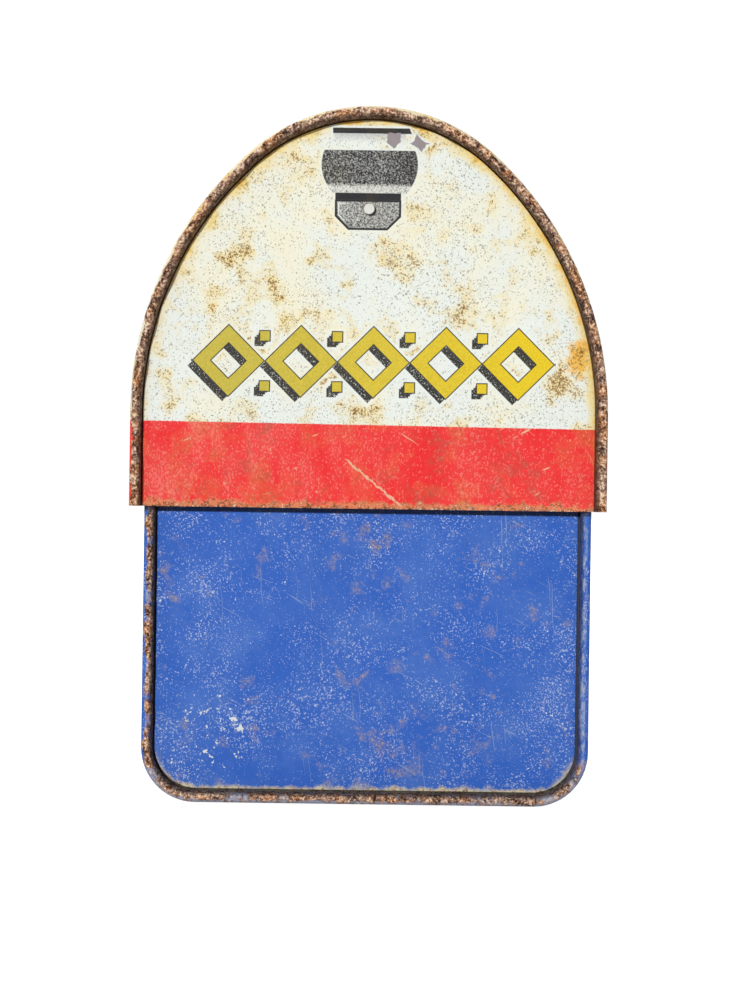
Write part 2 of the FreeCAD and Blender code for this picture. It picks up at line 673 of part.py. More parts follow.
# ---------------------------------------------------------------- handle
def handle_bracket(label, side):
    """A saddle plate bent to the dome's ridge, with an upright ear that the handle's wire turns in."""
    body = new_body(label)
    saddle = new_sketch(
        body, label + "_saddle", "XZ_Plane", f"{-side} * (earSpacing - earThickness / 2)"
    )
    crown_z = f"(topHeight - {CROWN_RADIUS})"
    low_z = f"({crown_z} + sqrt({CROWN_RADIUS}^2 - bracketHalfWidth^2))"
    high_z = f"({crown_z} + sqrt(({CROWN_RADIUS} + plate)^2 - bracketHalfWidth^2))"
    points = [
        ("-bracketHalfWidth", low_z),
        ("bracketHalfWidth", low_z),
        ("bracketHalfWidth", high_z),
        ("-bracketHalfWidth", high_z),
    ]
    draw(saddle, points, {0: ("0", crown_z, -1), 2: ("0", crown_z, 1)})
    pad(body, saddle, "bracketLength", reverse=side > 0)
    ear = new_sketch(
        body, label + "_ear", "XZ_Plane", f"{-side} * (earSpacing - earThickness / 2)"
    )
    foot = "(earRadius * 1.8)"
    points = [
        (f"-{foot}", "topHeight + plate / 8"),
        (foot, "topHeight + plate / 8"),
        ("earRadius", HANDLE_Z),
        ("-earRadius", HANDLE_Z),
    ]
    draw(ear, points, {2: ("0", HANDLE_Z, 1)})
    pad(body, ear, "earThickness", reverse=side > 0)
    bore = new_sketch(body, label + "_bore", "XZ_Plane", f"{-side} * earSpacing")
    draw_circle(bore, "0", HANDLE_Z, "wireRadius + wirePlay")
    cut(body, bore, "4 * earThickness", middle=True)
    # The saddle's outer corners are cut back at 45 degrees.
    chamfer = new_sketch(body, label + "_corners", "XY_Plane", "topHeight + earRise")
    end = "(earSpacing - earThickness / 2 + bracketLength)"
    far = f"{side} * ({end} + bracketCorner / 2)"
    near = f"{side} * ({end} - bracketCorner * 1.5)"
    for sign in (-1, 1):
        points = [
            (f"{sign} * (bracketHalfWidth + bracketCorner / 2)", far),
            (f"{sign} * (bracketHalfWidth - bracketCorner * 1.5)", far),
            (f"{sign} * (bracketHalfWidth + bracketCorner / 2)", near),
        ]
        draw(chamfer, points)
    cut(body, chamfer, "3 * earRise")
    holes = new_sketch(body, label + "_holes", "XY_Plane", "topHeight + 2 * plate")
    for u, v in HANDLE_RIVETS:
        if number(v) * side > 0:
            draw_circle(holes, u, v, "rivetShank + rivetPlay")
    cut(body, holes, "3 * plate")
    return body


handle_bracket("handle_bracket_front", -1)
handle_bracket("handle_bracket_rear", 1)

# Upright the grip stands straight above the handle's axis. Folded it lies beside the ridge, and its
# round side stays clear of the dome by gripAir.
GRIP_CLEAR = f"({CROWN_RADIUS} + gripThickness / 2 + gripAir)"
AXIS_OVER_CROWN = f"({CROWN_RADIUS} + earRise)"
FOLD_DIP = (
    f"asin((handleReach^2 + {AXIS_OVER_CROWN}^2 - {GRIP_CLEAR}^2)"
    f" / (2 * handleReach * {AXIS_OVER_CROWN}))"
)


def fold_handle(body):
    """Moves a part drawn upright round the origin to the handle's axis, folded towards +X."""
    bind(body, "Placement.Base.z", HANDLE_Z)
    body.Placement.Rotation = Rotation(Vector(0, 1, 0), 90 + number(FOLD_DIP))


def make_handle_bail():
    """The handle's wire: through the grip, down both legs and out through the ears."""
    body = new_body("handle_bail")
    spine = new_sketch(body, "bail_spine", "YZ_Plane")
    stub = "(earSpacing + earThickness + wireRadius)"
    leg = "legSpacing"
    inner = "(legSpacing + legBend)"
    shoulder = "(legSpacing - legBend)"
    points = [
        (f"-{stub}", "0"),
        (f"-{inner}", "0"),
        (f"-{leg}", "legBend"),
        (f"-{leg}", "handleReach - legBend"),
        (f"-{shoulder}", "handleReach"),
        (shoulder, "handleReach"),
        (leg, "handleReach - legBend"),
        (leg, "legBend"),
        (inner, "0"),
        (stub, "0"),
    ]
    arcs = {
        1: (f"-{inner}", "legBend", 1),
        3: (f"-{shoulder}", "handleReach - legBend", -1),
        5: (shoulder, "handleReach - legBend", -1),
        7: (inner, "legBend", 1),
    }
    draw(spine, points, arcs, closed=False)
    section = new_sketch(body, "bail_section", "XZ_Plane", stub)
    draw_circle(section, "0", "0", "wireRadius")
    pipe(body, section, spine)
    for tag, sign in (("front", -1), ("rear", 1)):
        head = new_sketch(body, "bail_head_" + tag, "XZ_Plane", f"{-sign} * {stub}")
        draw_circle(head, "0", "0", "wireRadius * 1.35")
        pad(body, head, "wireRadius * 0.6", reverse=sign > 0)
    fold_handle(body)
    return body


make_handle_bail()


def make_handle_grip():
    """The moulded grip: an oval bar with a collar at each end and a bore for the wire."""
    body = new_body("handle_grip")

    def oval(name, place, grow):
        """An oval drawn across the grip, from two flats and two half rounds."""
        sketch = new_sketch(body, name, "XZ_Plane", place)
        round_radius = f"(gripThickness / 2 * {grow})"
        flat = f"(gripWidth * {grow} / 2 - {round_radius})"
        low, high = f"(handleReach - {flat})", f"(handleReach + {flat})"
        left, right = f"-{round_radius}", round_radius
        points = [(right, low), (right, high), (left, high), (left, low)]
        arcs = {1: ("0", high, 1), 3: ("0", low, 1)}
        draw(sketch, points, arcs)
        return sketch

    bar = oval("grip_bar", "0", "gripWaist")
    pad(body, bar, "2 * gripHalfLength - gripCollar", middle=True)
    for tag, sign in (("front", 1), ("rear", -1)):
        collar = oval("grip_collar_" + tag, f"{sign} * gripHalfLength", "1")
        pad(body, collar, "gripCollar", reverse=sign > 0)
    doc.recompute()
    bore = new_sketch(body, "grip_bore", "XZ_Plane")
    draw_circle(bore, "0", "handleReach", "wireRadius + gripPlay")
    cut(body, bore, "3 * gripHalfLength", middle=True)
    fold_handle(body)
    return body


make_handle_grip()


# ---------------------------------------------------------------- bottle clip
def clip_bracket(label, side):
    """A plate on the lid's rear wall with an ear that holds one end of the bottle clip's wire."""
    body = new_body(label)
    inner_wall = f"({LID_HALF_WIDTH} - sheet)"
    low = "(clipHeight - clipEarRadius)"
    plate = new_sketch(body, label + "_plate", "YZ_Plane", f"-{inner_wall}")
    near = f"{side} * (clipEar - plate / 2)"
    far = f"{side} * (clipEar - plate / 2 + clipPlateWidth)"
    draw_box(plate, near, low, far, f"{low} + clipPlateHeight")
    pad(body, plate, "plate")
    ear = new_sketch(body, label + "_ear", "XZ_Plane", f"{-side} * (clipEar - plate / 2)")
    points = [
        (f"-({inner_wall} - plate / 2)", low),
        ("-clipBack", low),
        ("-clipBack", "clipHeight + clipEarRadius"),
        (f"-({inner_wall} - plate / 2)", "clipHeight + clipPlateHeight / 2"),
    ]
    draw(ear, points, {1: ("-clipBack", "clipHeight", 1)})
    pad(body, ear, "plate", reverse=side > 0)
    bore = new_sketch(body, label + "_bore", "XZ_Plane", f"{-side} * clipEar")
    draw_circle(bore, "-clipBack", "clipHeight", "clipWire + wirePlay")
    cut(body, bore, "4 * plate", middle=True)
    holes = new_sketch(body, label + "_holes", "YZ_Plane", f"-{inner_wall}")
    for u, v in CLIP_RIVETS:
        if number(u) * side > 0:
            draw_circle(holes, u, v, "rivetShank + rivetPlay")
    cut(body, holes, "4 * plate", middle=True)
    return body


clip_bracket("bottle_clip_bracket_front", -1)
clip_bracket("bottle_clip_bracket_rear", 1)


def make_bottle_clip():
    """The bottle clip: one springy wire across the dome's mouth, hooked through both ears."""
    body = new_body("bottle_clip")
    spine = new_sketch(body, "clip_spine", "XY_Plane", "clipHeight")
    stub = "(clipEar + plate + clipWire)"
    root = "(clipWire * 2)"
    heel = f"(-clipBack + {root})"
    toe = "(clipFront - clipBend)"
    points = [
        ("-clipBack", f"-{stub}"),
        ("-clipBack", f"-(clipLegs + {root})"),
        (heel, "-clipLegs"),
        (toe, "-clipLegs"),
        ("clipFront", "-(clipLegs - clipBend)"),
        ("clipFront", "(clipLegs - clipBend)"),
        (toe, "clipLegs"),
        (heel, "clipLegs"),
        ("-clipBack", f"(clipLegs + {root})"),
        ("-clipBack", stub),
    ]
    arcs = {
        1: (heel, f"-(clipLegs + {root})", -1),
        3: (toe, "-(clipLegs - clipBend)", 1),
        5: (toe, "(clipLegs - clipBend)", 1),
        7: (heel, f"(clipLegs + {root})", -1),
    }
    draw(spine, points, arcs, closed=False)
    section = new_sketch(body, "clip_section", "XZ_Plane", stub)
    draw_circle(section, "-clipBack", "clipHeight", "clipWire")
    pipe(body, section, spine)
    return body


make_bottle_clip()


def make_clip_catch():
    """The clip's catch: a plate behind the hasp's rivets with a nub that the front bar snaps over."""
    body = new_body("bottle_clip_catch")
    inner_wall = f"({LID_HALF_WIDTH} - sheet)"
    profile = new_sketch(body, "clip_catch_profile", "XZ_Plane")
    top = f"({HASP_Z} + haspBracketTop)"
    nub = "(clipFront + clipWire + knuckleGap)"
    points = [
        (inner_wall, top),
        (f"({inner_wall} - plate)", top),
        (f"({inner_wall} - plate)", "clipHeight"),
        (nub, "clipHeight - plate"),
        (nub, "clipHeight - clipWire * 2"),
        (f"({nub} + plate)", "clipHeight - clipWire * 2"),
        (inner_wall, "clipHeight - plate"),
    ]
    draw(profile, points)
    pad(body, profile, "haspWidth", middle=True)
    holes = new_sketch(body, "clip_catch_holes", "YZ_Plane", inner_wall)
    for u, v in HASP_RIVETS:
        draw_circle(holes, u, v, "rivetShank + rivetPlay")
    cut(body, holes, "4 * plate", middle=True)
    return body


make_clip_catch()


# ---------------------------------------------------------------- rivets
def rivet(grip):
    """One clinched rivet on +Z: its head sits on Z = 0 and its tail under a stack grip thick."""
    shank, head, tail = number("rivetShank"), number("rivetHead"), number("rivetTail")
    rise, tail_rise = number("rivetRise"), number("rivetTailRise")
    crown = Part.Arc(Vector(0, 0, rise), Vector(head * 0.72, 0, rise * 0.68), Vector(head, 0, 0))
    corners = [
        Vector(head, 0, 0),
        Vector(shank, 0, 0),
        Vector(shank, 0, -grip),
        Vector(tail, 0, -grip),
        Vector(tail * 0.8, 0, -grip - tail_rise),
        Vector(0, 0, -grip - tail_rise),
        Vector(0, 0, rise),
    ]
    edges = [crown.toShape()]
    for start, stop in zip(corners, corners[1:]):
        edges.append(Part.LineSegment(start, stop).toShape())
    face = Part.Face(Part.Wire(edges))
    return face.revolve(Vector(0, 0, 0), Vector(0, 0, 1), 360)


def rivet_group(label, places, direction, grip):
    """Identical rivets as separate solids of one sub-part, their heads facing the direction."""
    turn = Rotation(Vector(0, 0, 1), direction)
    solids = []
    for place in places:
        one = rivet(number(grip))
        one.Placement = Placement(place, turn)
        solids.append(one)
    group = doc.addObject("Part::Feature", label)
    group.Label = label
    group.Shape = Part.makeCompound(solids)
    return group


def on_wall(x, spots):
    """The head places of rivets on a side wall."""
    return [Vector(number(x), number(u), number(v)) for u, v in spots]


REAR, FRONT, UP = Vector(-1, 0, 0), Vector(1, 0, 0), Vector(0, 0, 1)
rivet_group(
    "base_hinge_rivets", on_wall("-(baseHalfWidth + plate)", BASE_LEAF_RIVETS), REAR, "plate + sheet"
)
rivet_group(
    "lid_hinge_rivets", on_wall(f"-({LID_HALF_WIDTH} + plate)", LID_LEAF_RIVETS), REAR, "plate + sheet"
)
rivet_group("catch_rivets", on_wall("baseHalfWidth + plate", CATCH_RIVETS), FRONT, "plate + sheet")
rivet_group(
    "hasp_rivets", on_wall(f"{LID_HALF_WIDTH} + plate", HASP_RIVETS), FRONT, "2 * plate + sheet"
)
rivet_group("bottle_clip_rivets", on_wall(f"-{LID_HALF_WIDTH}", CLIP_RIVETS), REAR, "plate + sheet")
rivet_group(
    "handle_rivets",
    [Vector(number(u), number(v), number("topHeight + plate")) for u, v in HANDLE_RIVETS],
    UP,
    "plate + sheet + saddleSag",
)


# ---------------------------------------------------------------- check and export
def is_sub_part(thing):
    """True for a finished sub-part: a body, or a feature that stands alone."""
    return thing.TypeId in ("PartDesign::Body", "Part::Feature")


doc.recompute()
for thing in doc.Objects:
    if "Invalid" in thing.State or "Error" in thing.State:
        raise ValueError("%s failed: %s" % (thing.Name, thing.State))
os.makedirs("parts", exist_ok=True)
for thing in doc.Objects:
    if is_sub_part(thing):
        shape = thing.Shape
        if shape.isNull() or not shape.isValid() or not shape.Solids:
            raise ValueError(thing.Label + " isn't a valid solid")
        shape.exportStep(os.path.join("parts", thing.Label + ".step"))
        print("%-26s %2d solid(s) %9.1f mm3" % (thing.Label, len(shape.Solids), shape.Volume))
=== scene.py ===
import math

import bmesh
import bpy
from mathutils import Matrix, Vector, noise


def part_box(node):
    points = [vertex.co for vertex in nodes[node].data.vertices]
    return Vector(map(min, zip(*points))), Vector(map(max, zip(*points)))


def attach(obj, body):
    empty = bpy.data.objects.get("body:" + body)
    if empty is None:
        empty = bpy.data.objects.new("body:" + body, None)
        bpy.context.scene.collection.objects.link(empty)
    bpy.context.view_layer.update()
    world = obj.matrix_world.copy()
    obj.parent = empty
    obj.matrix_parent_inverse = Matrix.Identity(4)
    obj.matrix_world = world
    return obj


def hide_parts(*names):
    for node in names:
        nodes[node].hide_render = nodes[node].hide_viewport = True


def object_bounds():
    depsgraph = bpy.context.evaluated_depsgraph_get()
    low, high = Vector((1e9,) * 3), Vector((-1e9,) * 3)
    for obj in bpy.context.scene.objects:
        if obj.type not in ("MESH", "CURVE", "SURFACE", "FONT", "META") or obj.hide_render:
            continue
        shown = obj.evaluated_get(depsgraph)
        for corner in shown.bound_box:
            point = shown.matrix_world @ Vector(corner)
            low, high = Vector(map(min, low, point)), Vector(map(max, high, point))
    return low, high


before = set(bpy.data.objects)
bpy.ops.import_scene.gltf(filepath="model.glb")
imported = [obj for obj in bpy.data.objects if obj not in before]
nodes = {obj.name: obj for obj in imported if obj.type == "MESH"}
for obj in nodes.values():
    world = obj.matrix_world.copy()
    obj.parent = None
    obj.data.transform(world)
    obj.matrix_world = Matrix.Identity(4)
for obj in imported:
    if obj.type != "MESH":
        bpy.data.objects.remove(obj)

# A dome-top tin carry box printed as a street post box, seen on its end. Sizes below are in millimetres.
mm = 0.001
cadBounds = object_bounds()


def boxInMm(node):
    low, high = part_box(node)
    return low / mm, high / mm


lidLow, lidHigh = boxInMm("lid_barrel")
baseHigh = boxInMm("base_barrel")[1]
lid = dict(
    halfWidth=lidHigh.x, mouth=lidLow.z, top=lidHigh.z, tip=lidHigh.y, spring=100.0, flankRadius=88.7,
    grooveWidth=0.2, grooveDepth=0.6, panelMiddle=118.0,
)
base = dict(
    halfWidth=baseHigh.x, mouth=baseHigh.z, tip=baseHigh.y, cornerRadius=14.0,
    grooveWidth=0.4, grooveDepth=0.9, panelMiddle=44.0,
)


# small helpers for shader trees

class Wire:
    # one value of a shader tree, so that sums read as sums
    def __init__(self, tree, socket):
        self.tree = tree
        self.socket = socket

    def calc(self, operation, second=None, third=None, first=None, clamp=False):
        node = self.tree.nodes.new("ShaderNodeMath")
        node.operation = operation
        node.use_clamp = clamp
        for slot, value in enumerate((self if first is None else first, second, third)):
            feed(node.inputs[slot], value)
        return Wire(self.tree, node.outputs[0])

    def __add__(self, other):
        return self.calc("ADD", other)

    def __rtruediv__(self, other):
        return self.calc("DIVIDE", self, first=other)

    def __sub__(self, other):
        return self.calc("SUBTRACT", other)

    def __rsub__(self, other):
        return self.calc("SUBTRACT", self, first=other)

    def __mul__(self, other):
        return self.calc("MULTIPLY", other)

    def __truediv__(self, other):
        return self.calc("DIVIDE", other)

    def __abs__(self):
        return self.calc("ABSOLUTE")

    __radd__ = __add__
    __rmul__ = __mul__


def feed(socket, value):
    if isinstance(value, Wire):
        value.tree.links.new(value.socket, socket)
    elif value is not None:
        socket.default_value = value


def larger(a, b):
    return a.calc("MAXIMUM", b)


def smaller(a, b):
    return a.calc("MINIMUM", b)


def inside(distance, soft=0.14):
    # 1 where a signed distance is below nought, with an edge this many millimetres soft
    return (0.5 - distance / soft).calc("ADD", 0.0, clamp=True)


def remap(value, low, high, toLow=0.0, toHigh=1.0):
    node = value.tree.nodes.new("ShaderNodeMapRange")
    labels = ("Value", "From Min", "From Max", "To Min", "To Max")
    for label, given in zip(labels, (value, low, high, toLow, toHigh)):
        feed(node.inputs[label], given)
    return Wire(value.tree, node.outputs["Result"])


def blendColours(factor, first, second):
    node = factor.tree.nodes.new("ShaderNodeMix")
    node.data_type = "RGBA"
    feed(node.inputs[0], factor)
    feed(node.inputs[6], first)
    feed(node.inputs[7], second)
    return Wire(factor.tree, node.outputs[2])


def brighten(colour, amount):
    # scales a colour by an amount that may change over the surface
    node = colour.tree.nodes.new("ShaderNodeVectorMath")
    node.operation = "SCALE"
    feed(node.inputs[0], colour)
    feed(node.inputs["Scale"], amount)
    return Wire(colour.tree, node.outputs[0])


def noiseAt(vector, size, detail=2.0, roughness=0.5):
    # size is the width of one lump, in the vector's own units
    node = vector.tree.nodes.new("ShaderNodeTexNoise")
    feed(node.inputs["Vector"], vector)
    feed(node.inputs["Scale"], 1.0 / size)
    feed(node.inputs["Detail"], detail)
    feed(node.inputs["Roughness"], roughness)
    return Wire(vector.tree, node.outputs[0])


def wobble(vector, size, detail, roughness, amount):
    # a value that wanders evenly about nought
    return (noiseAt(vector, size, detail, roughness) - 0.5) * amount


def cellsAt(vector, pitch):
    # distance to the nearest cell's middle in cell widths, and three random values of that cell
    node = vector.tree.nodes.new("ShaderNodeTexVoronoi")
    feed(node.inputs["Vector"], vector)
    feed(node.inputs["Scale"], 1.0 / pitch)
    split = vector.tree.nodes.new("ShaderNodeSeparateColor")
    vector.tree.links.new(node.outputs["Color"], split.inputs[0])
    return Wire(vector.tree, node.outputs["Distance"]), [Wire(vector.tree, out) for out in split.outputs]


def axes(vector):
    node = vector.tree.nodes.new("ShaderNodeSeparateXYZ")
    feed(node.inputs[0], vector)
    return [Wire(vector.tree, out) for out in node.outputs]


def moved(vector, offset=(0, 0, 0), turn=(0, 0, 0), scale=(1, 1, 1)):
    node = vector.tree.nodes.new("ShaderNodeMapping")
    feed(node.inputs["Vector"], vector)
    feed(node.inputs["Location"], offset)
    feed(node.inputs["Rotation"], turn)
    feed(node.inputs["Scale"], scale)
    return Wire(vector.tree, node.outputs[0])


def srgb(red, green, blue):
    def linear(channel):
        share = channel / 255
        return share / 12.92 if share <= 0.04045 else ((share + 0.055) / 1.055) ** 2.4
    return (linear(red), linear(green), linear(blue), 1.0)


socketKinds = {"vector": "NodeSocketVector", "value": "NodeSocketFloat", "colour": "NodeSocketColor"}


def startGroup(name, inputs, outputs):
    # inputs maps a socket's name to its kind and default, outputs maps a socket's name to its kind
    tree = bpy.data.node_groups.new(name, "ShaderNodeTree")
    for label, (kind, start) in inputs.items():
        socket = tree.interface.new_socket(name=label, in_out="INPUT", socket_type=socketKinds[kind])
        if start is not None:
            socket.default_value = start
    for label, kind in outputs.items():
        tree.interface.new_socket(name=label, in_out="OUTPUT", socket_type=socketKinds[kind])
    source = tree.nodes.new("NodeGroupInput")
    sink = tree.nodes.new("NodeGroupOutput")
    return {label: Wire(tree, source.outputs[label]) for label in inputs}, sink


def finishGroup(sink, results):
    for label, wire in results.items():
        feed(sink.inputs[label], wire)
    return sink.id_data


def place(group, vector, **values):
    # puts a node group in the vector's tree and returns its outputs by name
    node = vector.tree.nodes.new("ShaderNodeGroup")
    node.node_tree = group
    feed(node.inputs["Vector"], vector)
    for label, value in values.items():
        feed(node.inputs[label.replace("_", " ")], value)
    return {out.name: Wire(vector.tree, out) for out in node.outputs}


# effects that the finishes share

def makeSpecks():
    # scattered ragged dots that keep together in patches, each with a fading halo
    given, sink = startGroup(
        "scatteredSpecks",
        {"Vector": ("vector", None), "Pitch": ("value", 2.0), "Size": ("value", 0.3), "Cover": ("value", 0.5),
         "Patch Size": ("value", 14.0), "Patchiness": ("value", 1.0), "Halo": ("value", 1.0)},
        {"Mask": "value", "Halo": "value"},
    )
    vector = given["Vector"]
    reach, chance = cellsAt(vector, given["Pitch"])
    patch = remap(noiseAt(vector, given["Patch Size"], 3.0, 0.6), 0.42, 0.62)
    cover = given["Cover"] * (1 - given["Patchiness"] + given["Patchiness"] * patch)
    kept = chance[0].calc("LESS_THAN", cover)
    ragged = noiseAt(vector, given["Size"], 2.0, 0.7) - 0.5
    radius = given["Size"] * (0.35 + chance[1] * 1.3)
    away = reach * given["Pitch"] + ragged * given["Size"] * 1.6 - radius
    halo = remap(away, 0.0, given["Halo"] * (0.6 + chance[2]), 1.0, 0.0)
    return finishGroup(sink, {"Mask": kept * inside(away, 0.12), "Halo": kept * halo * halo})


def makePricks():
    # very fine ragged pricks in the finish, which crowd together where Crowd is high
    given, sink = startGroup(
        "finePricks",
        {"Vector": ("vector", None), "Size": ("value", 0.25), "Level": ("value", 0.66),
         "Crowd": ("value", 0.0), "Crowd Pull": ("value", 0.14)},
        {"Mask": "value"},
    )
    grain = noiseAt(given["Vector"], given["Size"] * 2.2, 2.0, 0.62)
    level = given["Level"] - given["Crowd"] * given["Crowd Pull"]
    return finishGroup(sink, {"Mask": remap(grain - level, 0.0, 0.035)})


def makeBlooms():
    # uneven islands where corrosion has worked through, as a value from 0 to 1
    given, sink = startGroup(
        "corrosionIslands",
        {"Vector": ("vector", None), "Size": ("value", 8.0),
         "Level": ("value", 0.58), "Fade": ("value", 0.14)},
        {"Crowd": "value", "Stain": "value"},
    )
    lumps = noiseAt(given["Vector"], given["Size"], 4.0, 0.62)
    broad = noiseAt(moved(given["Vector"], offset=(31.0, 7.0, 12.0)), given["Size"] * 4.0, 1.0)
    field = lumps + (broad - 0.5) * 0.35 - given["Level"]
    crowd = remap(field, 0.0, given["Fade"])
    stain = remap(field + 0.05, 0.0, given["Fade"] * 1.3)
    return finishGroup(sink, {"Crowd": crowd, "Stain": stain})


def makeScratches():
    # long thin marks that all lie one way
    given, sink = startGroup(
        "longScratches",
        {"Vector": ("vector", None), "Angle": ("vector", None), "Width": ("value", 0.15),
         "Length": ("value", 14.0), "Cover": ("value", 0.3)},
        {"Mask": "value"},
    )
    turned = moved(given["Vector"], turn=given["Angle"])
    wander = (noiseAt(given["Vector"], 9.0, 1.0) - 0.5) * 2.0
    x, y, z = axes(turned)
    node = turned.tree.nodes.new("ShaderNodeCombineXYZ")
    feed(node.inputs["X"], (x + wander) / given["Width"])
    feed(node.inputs["Y"], y / given["Length"])
    feed(node.inputs["Z"], z / given["Length"])
    streak = noiseAt(Wire(turned.tree, node.outputs[0]), 2.0, 1.0, 0.4)
    patch = noiseAt(given["Vector"], 15.0, 1.0) * 0.4
    threshold = 1.02 - given["Cover"] * 0.2
    return finishGroup(sink, {"Mask": remap(streak + patch, threshold, threshold + 0.04)})


def makeRustSkin():
    # crumbly rust: dark pits, brown skin, pale crumbs and patches of fresh orange
    given, sink = startGroup(
        "rustSkin",
        {"Vector": ("vector", None), "Lump Size": ("value", 1.6), "Crumbs": ("value", 0.5),
         "Pit Colour": ("colour", srgb(48, 32, 26)), "Skin Colour": ("colour", srgb(176, 136, 114)),
         "Crumb Colour": ("colour", srgb(248, 222, 190)), "Fresh Colour": ("colour", srgb(220, 142, 78))},
        {"Colour": "colour", "Height": "value"},
    )
    vector = given["Vector"]
    lumps = noiseAt(vector, given["Lump Size"], 4.0, 0.75)
    crumbs = noiseAt(vector, 0.6, 2.0, 0.7)
    dark = remap(lumps * 0.6 + crumbs * 0.4, 0.41, 0.54)
    fresh = remap(noiseAt(moved(vector, offset=(5.0, 40.0, 9.0)), 6.0, 3.0), 0.46, 0.60)
    skin = blendColours(fresh * 0.6, given["Skin Colour"], given["Fresh Colour"])
    colour = blendColours(dark, given["Pit Colour"], skin)
    pale = remap(crumbs * 0.6 + lumps * 0.4, 0.60 - given["Crumbs"] * 0.12, 0.65 - given["Crumbs"] * 0.12)
    colour = blendColours(pale * 0.85, colour, given["Crumb Colour"])
    return finishGroup(sink, {"Colour": colour, "Height": lumps * 0.8 + crumbs * 0.5})


def makeWornEdge():
    # a ragged strip of wear beside an edge, from the distance to that edge
    given, sink = startGroup(
        "wornEdge",
        {"Vector": ("vector", None), "Distance": ("value", 5.0), "Reach": ("value", 1.0),
         "Rag": ("value", 2.0), "Rag Size": ("value", 4.0), "Soft": ("value", 0.4)},
        {"Mask": "value"},
    )
    vector = given["Vector"]
    rag = (noiseAt(vector, given["Rag Size"], 4.0, 0.65) - 0.5) * 2.0 * given["Rag"]
    return finishGroup(sink, {"Mask": inside(given["Distance"] - given["Reach"] - rag, given["Soft"])})


def makeHandling():
    # broad uneven fading and a fine grain, as one number to scale a colour by
    given, sink = startGroup(
        "handledTone",
        {"Vector": ("vector", None), "Broad": ("value", 0.08),
         "Fine": ("value", 0.1), "Grain Size": ("value", 0.3)},
        {"Tone": "value", "Height": "value"},
    )
    broad = noiseAt(given["Vector"], 22.0, 3.0, 0.55) - 0.5
    fine = noiseAt(given["Vector"], given["Grain Size"], 3.0, 0.75) - 0.5
    tone = 1.0 + broad * 2.0 * given["Broad"] + fine * 2.0 * given["Fine"]
    return finishGroup(sink, {"Tone": tone, "Height": fine})


specks = makeSpecks()
pricks = makePricks()
islands = makeBlooms()
scratches = makeScratches()
rustSkin = makeRustSkin()
wornEdge = makeWornEdge()
handledTone = makeHandling()


# the printed pictures on the lid's end panels

lockPrint = dict(
    middle=-0.72, slotHeight=172.5, slotHalf=0.7, slotLeft=-9.5, slotRight=10.7, slotShadow=2.4,
    blockTop=167.5, blockWidest=163.8, blockHalf=12.3, blockRound=0.053, blockFoot=156.6,
    footHeight=1.9, neckFoot=154.8, plateHalf=8.4, plateLean=-0.3, plateFoot=147.2,
    rivetHeight=152.6, rivetRadius=1.33, line=0.45, halo=0.6,
    ink=srgb(26, 26, 32), grey=srgb(150, 151, 152), light=srgb(226, 226, 218), bare=srgb(150, 139, 143),
    firstPatch=(6.1, 170.3), secondPatch=(12.6, 169.4), patchReach=1.7,
    grainMiddle=0.48, blockGrain=2.8, plateGrain=3.0, rivetShade=0.45,
)


